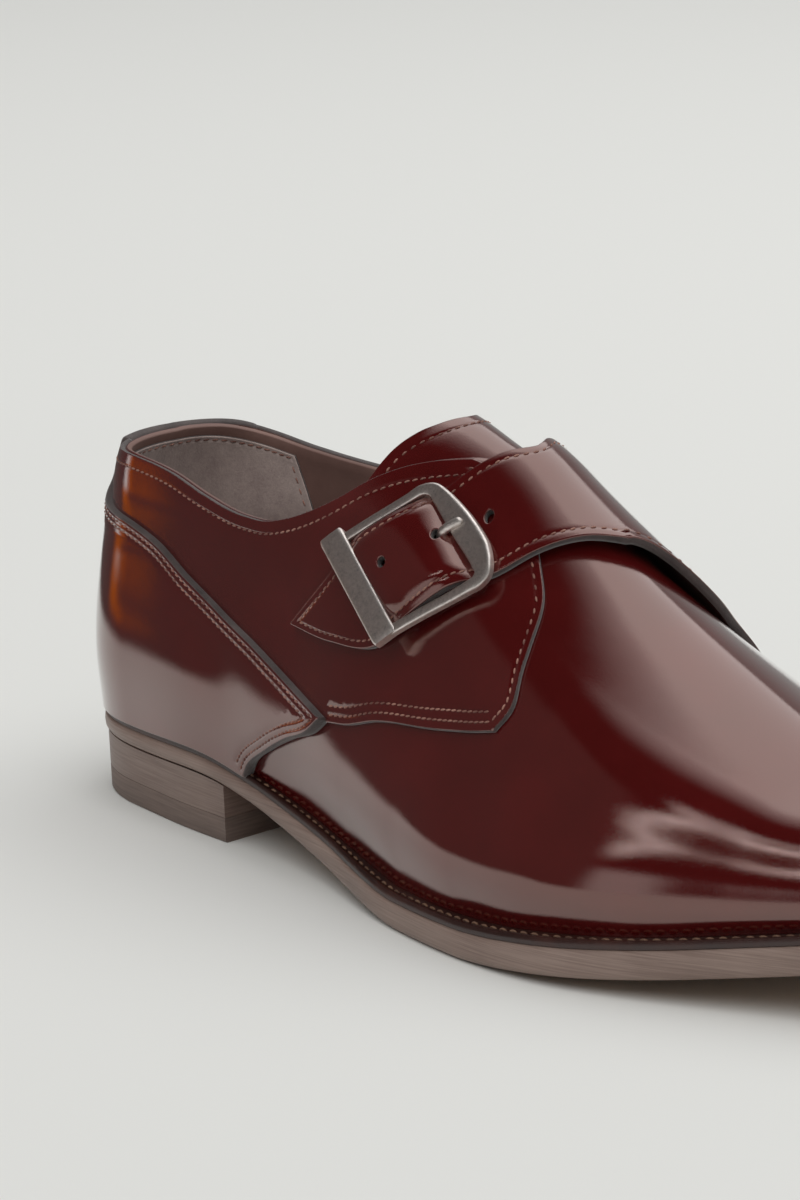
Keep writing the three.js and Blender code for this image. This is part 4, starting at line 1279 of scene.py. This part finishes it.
top_edge = topline_points(OUTER, 12.6, 138.5, 50, QUARTER_TOP, lay_over_ridge)
front_edge = edge_of(OUTER, QUARTER_FRONT[::-1], QUARTER_TOP, lay_over_ridge)
foot_edge = edge_of(OUTER, QUARTER_FOOT[::-1], QUARTER_TOP, lay_over_ridge)
back_edge = edge_of(OUTER, tucked[::-1], QUARTER_TOP, lay_over_ridge)
front_edge[0] = top_edge[-1]
foot_edge[0] = front_edge[-1]
back_edge[0] = foot_edge[-1]
back_edge[-1] = top_edge[0]
quarter = Panel(
    over_ridge, [top_edge, front_edge, foot_edge, back_edge], lambda a, b: QUARTER_TOP, lambda a, b: 0.04,
    raw=0.12,
)
seams = [quarter.row(0, 3.4), quarter.row(1, 1.9), quarter.row(2, 1.9), quarter.row(2, 4.0)]
made = quarter.mesh("outer_quarter_leather", [oxblood, cut_edge, lining])
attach(made, "root")
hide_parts("lateral_quarter")
for k, line in enumerate(seams):
    made = quarter.sew(f"outer_quarter_stitching_{k + 1}", line, *UPPER_STITCH, thread)
    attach(made, "root")

# ---------------------------------------------------------------- inner quarter with its strap
# The inner quarter and the strap are one cut piece: the strap sweeps over the instep, stands off
# the vamp along its front edge, passes through the buckle and ends in a stitched point.
BUCKLE_CORNERS = {
    "rear_top": (115.0, 0.66, 9.0),
    "rear_low": (139.6, 0.52, 8.6),
    "front_top": (136.0, 0.845, 7.6),
    "front_low": (160.7, 0.755, 7.2),
}  # station, share of the way up and height above the last
STRAP_THICK = 2.3
STRAP_HUG = 0.3
rear_top, rear_low, front_top, front_low = (np.array(v) for v in BUCKLE_CORNERS.values())
BUCKLE_FORWARD = (front_top + front_low - rear_top - rear_low) / 4
BUCKLE_HIGHER = (rear_top + front_top - rear_low - front_low) / 4
BUCKLE_CENTRE = (rear_top + rear_low + front_top + front_low) / 4


def within_buckle(s, t):
    """Place inside the buckle: -1 at the rear bar to +1 at the front, -1 low to +1 high."""
    u, v, c = BUCKLE_FORWARD, BUCKLE_HIGHER, BUCKLE_CENTRE
    det = u[0] * v[1] - u[1] * v[0]
    a = ((s - c[0]) * v[1] - (t - c[1]) * v[0]) / det
    b = ((t - c[1]) * u[0] - (s - c[0]) * u[1]) / det
    return a, b


def strap_under(a, b):
    """Height of the strap's inner face: close on the inner side, arched over the centre bar on the
    outer side, and standing off the vamp towards its front edge."""
    side, s, t = over_ridge(a, b)
    over = rise_between(s, 70, 100) * (1 - rise_between(s, 200, 240))
    p, q = within_buckle(s, t)
    near = (1 - 0.6 * rise_between(np.abs(q), 0.5, 1.0)) * (1 - rise_between(np.abs(q), 1.0, 1.5))
    lifted = 1.2 * over + 4.15 * np.maximum(0, 1 - p**4) ** 2 * near * over
    lifted = lifted + 1.3 * rise_between(s, 156, 176) * rise_between(t, 0.66, 0.86) * over
    flat = (1.6 + 1.3 * rise_between(s, 156, 176)) * over * rise_between(t, 0.72, 0.98)
    return STRAP_HUG + np.where(side > 0, flat, lifted)


def strap_top(a, b):
    return strap_under(a, b) + STRAP_THICK


STRAP_BACK_OUTER = [
    (102.1, 63.2), (115.5, 77.5), (121, 84.7), (129, 91.5), (139.2, 100.5), (143.2, 105.5), (145.9, 108),
]
STRAP_FRONT_OUTER = [
    (173.5, 91.8), (167, 89), (161.5, 84.4), (153, 79.6), (143.3, 71), (134.6, 63.9), (118.9, 62.4),
    (102.1, 63.2),
]
STRAP_FRONT_INNER = [(190, 53), (190.5, 60), (189, 67), (189, 74), (185, 82), (180.5, 88)]

back_outer = edge_of(OUTER, STRAP_BACK_OUTER, 3.6, lay_over_ridge)
crest = np.array([[along_of(149.0), 0.0]])
throat_inner = topline_points(INNER, 147.6, 140, 4, 2.0, lay_over_ridge)
top_inner = topline_points(INNER, 140, 19.0, 50, 2.0, lay_over_ridge)
back_edge = edge_of(INNER, tucked_inner, 2.0, lay_over_ridge)
foot_edge = edge_of(INNER, [*QUARTER_FOOT[:-1], (190, 53)], 2.0, lay_over_ridge)
front_inner = edge_of(INNER, STRAP_FRONT_INNER, 2.0, lay_over_ridge)
front_outer = edge_of(OUTER, STRAP_FRONT_OUTER, 3.6, lay_over_ridge)
crown = np.array([[along_of(178.0), 0.0]])
back_edge[0] = top_inner[-1]
foot_edge[0] = back_edge[-1]
front_edge = np.concatenate([foot_edge[-1:], front_inner[1:], crown, front_outer])
front_edge[-1] = back_outer[0]
strap = Panel(
    over_ridge,
    [np.concatenate([back_outer, crest, throat_inner]), top_inner, back_edge, foot_edge, front_edge],
    strap_top,
    strap_under,
)
seams = [
    strap.row(0, 1.8), strap.row(1, 3.4), strap.row(3, 1.9), strap.row(3, 4.0), strap.row(4, 1.8),
]


def strap_place(a, b):
    """Pattern point at a place inside the buckle."""
    u, v, c = BUCKLE_FORWARD, BUCKLE_HIGHER, BUCKLE_CENTRE
    s, t = c[0] + u[0] * a + v[0] * b, c[1] + u[1] * a + v[1] * b
    one = np.ones(1)
    return lay_over_ridge(-one, s * one, t * one)[0]


HOLE_RADIUS = 1.15
for place in ((-0.28, 0.08), (0.6, 0.06), (1.38, 0.05)):
    strap.hole(strap_place(*place), HOLE_RADIUS)
made = strap.mesh("strap_and_inner_quarter_leather", [oxblood, cut_edge, lining], step=1.9)
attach(made, "root")
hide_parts("strap")
for k, line in enumerate(seams):
    made = strap.sew(f"strap_stitching_{k + 1}", line, *UPPER_STITCH, thread)
    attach(made, "root")

# ---------------------------------------------------------------- heel counter
# A stout outside counter wraps the heel and runs forward to a tip low on each side. It is the
# thickest layer, so its raw edge shows dark grey along two close rows of stitching.
COUNTER_TOP = 3.2
COUNTER_FOOT = [(120, 44.2), (114.6, 39.5), (104.3, 35), (93.7, 29.2), (84.6, 23.2), (82, 15)]

upper_outer = edge_of(OUTER, COUNTER_EDGE[::-1], COUNTER_TOP, lay_round_back)
collar = np.concatenate(
    [
        topline_points(OUTER, 12.6, 0.0, 14, COUNTER_TOP, lay_round_back),
        topline_points(INNER, 0.0, 19.0, 18, COUNTER_TOP, lay_round_back)[1:],
    ]
)
upper_inner = edge_of(INNER, COUNTER_EDGE_INNER, COUNTER_TOP, lay_round_back)
foot_inner = edge_of(INNER, COUNTER_FOOT, COUNTER_TOP, lay_round_back)
foot_outer = edge_of(OUTER, COUNTER_FOOT[::-1], COUNTER_TOP, lay_round_back)
foot_inner[-1, 1] = foot_outer[0, 1] = -0.8
upper_outer[-1], upper_inner[0] = collar[0], collar[-1]
foot_inner[0], foot_outer[-1] = upper_inner[-1], upper_outer[0]
s = np.linspace(station_of(foot_inner[-1, 0]), -station_of(-foot_outer[0, 0]), 9)
ground = np.array([[np.sign(v) * along_of(abs(v)), -0.8] for v in s])
ground[0], ground[-1] = foot_inner[-1], foot_outer[0]
counter = Panel(
    round_back,
    [upper_outer, collar, upper_inner, foot_inner, ground, foot_outer],
    lambda a, b: COUNTER_TOP,
    lambda a, b: 0.04,
    roll=0.7,
    raw=0.56,
)
seams = [counter.row(k, d) for k in (0, 2, 3, 5) for d in (1.9, 3.7)]
made = counter.mesh("heel_counter_leather", [oxblood, cut_edge, lining])
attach(made, "root")
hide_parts("heel_counter")
for k, line in enumerate(seams):
    made = counter.sew(f"heel_counter_stitching_{k + 1}", line, *UPPER_STITCH, thread)
    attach(made, "root")

# ---------------------------------------------------------------- buckle frame
# Cast zinc alloy, nickel plated, then antiqued and rubbed back: the plating is mottled dark in the
# hollows and bright on the edges. A flat rear bar, two thin arms and a broad curved front.


def last_corner(corner):
    """Point in space of one corner of the buckle."""
    side, s, t = np.full(1, OUTER), np.full(1, corner[0]), np.full(1, corner[1])
    return on_last(side, s, t, corner[2])[0]


corner_points = [last_corner(c) for c in (rear_top, rear_low, front_top, front_low)]
BUCKLE_UP = unit(np.cross(corner_points[2] - corner_points[1], corner_points[0] - corner_points[3]))
if BUCKLE_UP[2] < 0:
    BUCKLE_UP = -BUCKLE_UP


def on_buckle(a, b, depth):
    """Point of the buckle from its rear bar (-1) to its front (+1) and low (-1) to high (+1)."""
    a, b, depth = np.broadcast_arrays(np.asarray(a, float), np.asarray(b, float), np.asarray(depth, float))
    rt, rl, ft, fl = (c[None, :] for c in corner_points)
    a, b, depth = a.reshape(-1, 1), b.reshape(-1, 1), depth.reshape(-1, 1)
    rear = (1 - a) * (1 + b) * rt + (1 - a) * (1 - b) * rl
    p = (rear + (1 + a) * (1 + b) * ft + (1 + a) * (1 - b) * fl) / 4
    bow = 0.9 * (1 - a * a)
    return p + BUCKLE_UP * (bow - depth)


def swept(path, widths, depths, tops, sections):
    """Bar of metal swept along a path in the buckle's plane; half widths are in its own units."""
    path = np.asarray(path, float)
    plan = on_buckle(path[:, 0], path[:, 1], 0)
    ahead = np.roll(plan, -1, axis=0) - np.roll(plan, 1, axis=0)
    ahead[0], ahead[-1] = plan[1] - plan[0], plan[-1] - plan[-2]
    out = unit(np.cross(unit(ahead), BUCKLE_UP))
    rings = []
    for k, depth in sections:
        rings.append(
            plan + out * (np.asarray(widths)[:, None] * k)
            - BUCKLE_UP * (np.asarray(tops)[:, None] + np.asarray(depths)[:, None] * depth)
        )
    return np.stack(rings, axis=1)


# Half a bar's rounded section, widest 1: place across it and share of the depth.
SOFT_BAR = [
    (-1.0, 1.0), (-1.0, 0.35), (-0.97, 0.18), (-0.86, 0.07), (-0.68, 0.02), (-0.35, 0.0), (0.35, 0.0),
    (0.68, 0.02), (0.86, 0.07), (0.97, 0.18), (1.0, 0.35), (1.0, 1.0), (0.8, 1.08), (-0.8, 1.08),
]


def antique_nickel(name):
    """Nickel plate, antiqued: dark oxide left in blotches and pits, bright where it is rubbed."""
    material, tree, output = new_material(name)
    place = add_node(tree, "ShaderNodeTexCoord")
    blotch = add_node(
        tree, "ShaderNodeTexNoise", {"Scale": 1000 / 3.2, "Detail": 6.0, "Roughness": 0.7},
        Vector=(place, "Object"),
    )
    pits = add_node(
        tree, "ShaderNodeTexNoise", {"Scale": 1000 / 0.7, "Detail": 3.0, "Roughness": 0.6},
        Vector=(place, "Object"),
    )
    shape = add_node(tree, "ShaderNodeNewGeometry")
    worn = ramp(tree, (shape, "Pointiness"), [(0.44, (0, 0, 0, 1)), (0.56, (1, 1, 1, 1))])
    mixed = add_node(
        tree, "ShaderNodeMath", {"operation": "MULTIPLY_ADD", 1: 0.7}, i0=(blotch, "Fac"),
        i2=add_node(tree, "ShaderNodeMath", {"operation": "MULTIPLY", 1: 0.3}, i0=(pits, "Fac")),
    )
    tones = ((0.36, "#6d625d"), (0.44, "#b0a49e"), (0.54, "#d6cbc5"), (0.66, "#efe6e0"))
    colour = ramp(tree, mixed, [(at, srgb(code)) for at, code in tones])
    bright = add_node(
        tree, "ShaderNodeMix", {"data_type": "RGBA", "blend_type": "MIX", 7: srgb("#fbf5f0")},
        i6=colour, i0=add_node(tree, "ShaderNodeMath", {"operation": "MULTIPLY", 1: 0.6}, i0=worn),
    )
    shine = add_node(
        tree, "ShaderNodeMapRange", {"From Min": 0.35, "From Max": 0.65, "To Min": 0.5, "To Max": 0.3},
        Value=mixed,
    )
    lift = add_node(tree, "ShaderNodeBump", {"Strength": 0.45, "Distance": 0.0003}, Height=(mixed, 0))
    links = {"Base Color": (bright, 2), "Normal": lift, "Roughness": shine}
    shader = add_node(tree, "ShaderNodeBsdfPrincipled", {"Metallic": 1.0}, **links)
    tree.links.new(shader.outputs[0], output.inputs["Surface"])
    return material


nickel = antique_nickel("antiqued nickel plate")

BAR_HALF_WIDTH, BAR_DEPTH, BAR_STEPS = 3.3, 2.3, 33
rear = np.linspace(-1.015, 1.01, BAR_STEPS)
rear_path = np.stack([np.full(BAR_STEPS, -0.79), rear], axis=1)
ends = np.minimum(1, (1 - np.abs(np.linspace(-1, 1, BAR_STEPS))) / 0.05 * 0.08 + 0.92)
bar_depths = np.full(BAR_STEPS, BAR_DEPTH)
bar_rings = swept(rear_path, BAR_HALF_WIDTH * ends, bar_depths, (1 - ends) * 2.5, SOFT_BAR)

# Centre line and half width of the bent part, from the low arm round the front to the high arm.
BENT_PART = [
    (-0.72, -0.92, 1.25), (-0.2, -0.93, 1.25), (0.3, -0.94, 1.3), (0.68, -0.945, 1.4), (0.86, -0.93, 1.6),
    (0.985, -0.84, 2.0), (1.03, -0.7, 2.55), (1.055, -0.45, 3.15), (1.035, -0.2, 3.3), (1.0, 0.1, 3.15),
    (0.965, 0.35, 2.8), (0.92, 0.6, 2.3), (0.865, 0.78, 1.8), (0.74, 0.86, 1.4), (0.5, 0.865, 1.2),
    (0.0, 0.86, 1.15), (-0.72, 0.85, 1.15),
]
bent = np.array(BENT_PART)
d_path = smooth_line(bent[:, :2], 0.03)
at = [int(np.argmin(np.linalg.norm(d_path - p, axis=1))) for p in bent[:, :2]]
d_width = np.interp(np.arange(len(d_path)), at, bent[:, 2])
turn = rise_between(d_path[:, 0], 0.2, 0.85)
d_rings = swept(d_path, d_width, 2.0 + 0.3 * turn, 0.75 * (1 - turn), SOFT_BAR)
points, faces = loft(bar_rings, capped=True)
more, more_faces = loft(d_rings, capped=True)
faces += [[v + len(points) for v in f] for f in more_faces]
points = np.concatenate([points, more])
made = build("buckle_frame_cast", points, faces, [nickel], sharp=48)
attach(made, "root")
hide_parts("buckle_frame")

# ---------------------------------------------------------------- buckle prong
# Round steel wire, nickel plated like the frame. It is bent round the hidden centre bar, comes up
# through a punched hole of the strap and rests on the curved front.


def wire(path, radius, sides=16):
    """Round wire along a smooth path, its ends rounded off."""
    path = np.asarray(path, float)
    run = run_length(path)
    ahead = unit(np.gradient(path, axis=0))
    side = unit(np.cross(ahead, np.array([0.3, 0.5, 0.8])))
    up = np.cross(side, ahead)
    near = np.minimum(run, run[-1] - run)
    r = radius * np.sqrt(np.clip(1 - (1 - np.clip(near / radius, 0, 1)) ** 2, 0.0, 1))
    rings = []
    for k in range(sides):
        w = 2 * math.pi * k / sides
        rings.append(path + (side * math.cos(w) + up * math.sin(w)) * r[:, None])
    return np.stack(rings, axis=1)


PRONG_RADIUS = 1.15
PRONG_BEND = (
    (0.52, 5.0), (0.6, 3.4), (0.67, 1.6), (0.74, 0.4), (0.82, -0.1), (0.94, -0.2), (1.07, -0.2),
)
prong_path = np.concatenate([on_buckle(a, 0.07, depth) for a, depth in PRONG_BEND])
fine = []
for k in range(3):
    fine.append(np.interp(np.linspace(0, 1, 40), np.linspace(0, 1, len(prong_path)), prong_path[:, k]))
points, faces = loft(wire(np.stack(fine, axis=1), PRONG_RADIUS), capped=True)
made = build("buckle_prong_wire", points, faces, [nickel])
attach(made, "root")
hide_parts("buckle_prong")

# ---------------------------------------------------------------- buckle loop
# A tab of dyed leather folded round the centre bar and sewn to the outer quarter. The strap hides
# it, so its plain solid is kept and only given its leather.
tab_leather = leather("dyed tab leather", ("#2e1210", "#3a1814", "#451f1a"), 0.5, 0.0, 0.5, 0.6, 8.0, 0.2)
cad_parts["buckle_loop"].data.materials.clear()
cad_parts["buckle_loop"].data.materials.append(tab_leather)

# ---------------------------------------------------------------- floor, light and camera
# A wide flat floor of pale matt paper, a large soft light above and behind, a weaker even one, and
# cards that only the polished leather and the metal reflect.


def matt_paper():
    material, tree, output = new_material("matt pale paper")
    settings = {"Base Color": srgb("#e6e6e3"), "Roughness": 0.9, "IOR": 1.45}
    shader = add_node(tree, "ShaderNodeBsdfPrincipled", settings)
    tree.links.new(shader.outputs[0], output.inputs["Surface"])
    return material


FLOOR_REACH = 6.0
floor_mesh = bpy.data.meshes.new("floor")
corners = [(x * FLOOR_REACH, y * FLOOR_REACH, 0) for x, y in ((-1, -1), (1, -1), (1, 1), (-1, 1))]
floor_mesh.from_pydata(corners, [], [(0, 1, 2, 3)])
floor_mesh.materials.append(matt_paper())
floor = bpy.data.objects.new("floor", floor_mesh)
bpy.context.scene.collection.objects.link(floor)

bpy.context.scene.view_settings.view_transform = "Standard"
world = bpy.data.worlds.new("studio")
bpy.context.scene.world = world
world.use_nodes = True
world.node_tree.nodes["Background"].inputs["Color"].default_value = srgb("#dcdddb")
world.node_tree.nodes["Background"].inputs["Strength"].default_value = 0.42

softbox = bpy.data.lights.new("overhead softbox", "AREA")
softbox.shape = "RECTANGLE"
softbox.size, softbox.size_y = 3.6, 3.0
softbox.energy = 38.0
lamp = bpy.data.objects.new("overhead softbox", softbox)
lamp.location = (0.4, 1.36, 2.4)
bpy.context.scene.collection.objects.link(lamp)

fill = bpy.data.lights.new("even fill", "SUN")
fill.energy = 1.2
fill.angle = math.radians(60)
lamp = bpy.data.objects.new("even fill", fill)
lamp.rotation_euler = (math.radians(25), math.radians(15), 0)
lamp.visible_glossy = False
bpy.context.scene.collection.objects.link(lamp)


def card(name, corners, colour, strength):
    """A studio card seen only in the shoe's reflections: a bright reflector or a dark flag."""
    material, tree, output = new_material(name)
    glow = add_node(tree, "ShaderNodeEmission", {"Color": srgb(colour), "Strength": strength})
    tree.links.new(glow.outputs[0], output.inputs["Surface"])
    mesh = bpy.data.meshes.new(name)
    mesh.from_pydata(corners, [], [(0, 1, 2, 3)])
    mesh.materials.append(material)
    made = bpy.data.objects.new(name, mesh)
    made.visible_camera = made.visible_diffuse = made.visible_shadow = False
    bpy.context.scene.collection.objects.link(made)


def upright_card(name, start, end, low, high, colour, strength):
    (x0, y0), (x1, y1) = start, end
    card(name, [(x0, y0, low), (x1, y1, low), (x1, y1, high), (x0, y0, high)], colour, strength)


upright_card("dark_flag", (-0.362, -0.089), (-0.002, -0.391), 0.0, 0.34, "#5a5250", 0.9)
upright_card("side_reflector", (-0.12, -0.56), (0.16, -0.56), 0.0, 0.22, "#ffffff", 0.7)


FLAG_FRONT, FLAG_RUN = (-0.3594, -0.0859), (0.36, -0.302)


def flag_card(name, places, colour, strength):
    """A card just in front of the dark flag; places run 0 to 1 along the flag, with a height."""
    (x, y), (run_x, run_y) = FLAG_FRONT, FLAG_RUN
    card(name, [(x + run_x * at, y + run_y * at, z) for at, z in places], colour, strength)


flag_card("post_foot", [(-0.05, 0.018), (0.15, 0.018), (0.155, 0.028), (-0.05, 0.028)], "#c46a26", 1.2)
flag_card("post_low", [(-0.1, 0.028), (0.09, 0.028), (0.1, 0.04), (-0.1, 0.04)], "#c46a26", 1.2)
flag_card("post_high", [(0.09, 0.04), (0.168, 0.04), (0.187, 0.115), (0.12, 0.115)], "#c46a26", 1.2)
flag_card("post_edge", [(0.02, 0.04), (0.09, 0.04), (0.12, 0.115), (0.05, 0.115)], "#ffffff", 1.3)
upright_card("left_flag", (-0.50, 0.30), (-0.362, -0.089), 0.0, 0.34, "#5a5250", 0.9)

for k, (near, far, share) in enumerate(
    ((-0.79, -0.62, 0.12), (-0.62, -0.44, 0.35), (-0.44, -0.28, 0.6), (-0.28, -0.14, 0.82))
):
    corners = [(-1.4, near, 2.38), (2.2, near, 2.38), (2.2, far, 2.38), (-1.4, far, 2.38)]
    card(f"softbox_edge_{k + 1}", corners, "#ffffff", 1.1 * share)
card("dark_ceiling", [(-4, -4, 2.45), (4, -4, 2.45), (4, -0.14, 2.45), (-4, -0.14, 2.45)], "#4a403c", 0.35)
card("dark_wall", [(-4, -4, 0.3), (4, -4, 0.3), (4, -4, 2.45), (-4, -4, 2.45)], "#4a403c", 0.35)


def ribbon(name, places, colour, strength):
    """A curved strip of light: azimuth, lowest and highest elevation in degrees, seen from the vamp."""
    eye = np.array([0.088, -0.034, 0.038])
    rows = []
    for azimuth, low, high in places:
        a = math.radians(azimuth)
        for elevation in (low, high):
            e = math.radians(elevation)
            rows.append(eye + [math.sin(a) * math.cos(e), -math.cos(a) * math.cos(e), math.sin(e)])
    for k in range(len(places) - 1):
        a, b, d, c = (tuple(rows[2 * k + j]) for j in range(4))
        card(f"{name}_{k + 1}", [a, b, c, d], colour, strength)


STRIP_LIGHT = [
    (-21, 21.5, 24.5), (-14, 26, 29), (-9, 29, 32), (0, 32.5, 35.5), (6, 33.5, 38), (9, 36, 42), (4, 43, 50),
]
ribbon("strip_light", STRIP_LIGHT, "#ffffff", 3.0)

lens = bpy.data.cameras.new("camera")
lens.lens = 124.598
lens.sensor_width = 36.0
lens.sensor_fit = "AUTO"
lens.clip_start, lens.clip_end = 0.05, 50.0
camera = bpy.data.objects.new("camera", lens)
right = np.array([0.66909, 0.74319, 0.0])
above = np.array([-0.17715, 0.15949, 0.97118])
back = np.array([0.72177, -0.64980, 0.23836])
roll = math.radians(0.231)
axis_x = right * math.cos(roll) - above * math.sin(roll)
axis_y = right * math.sin(roll) + above * math.cos(roll)
matrix = Matrix.Identity(4)
for row in range(3):
    matrix[row][0], matrix[row][1], matrix[row][2] = axis_x[row], axis_y[row], back[row]
    matrix[row][3] = (0.69916, -0.66859, 0.30884)[row]
camera.matrix_world = matrix
bpy.context.scene.collection.objects.link(camera)
bpy.context.scene.camera = camera
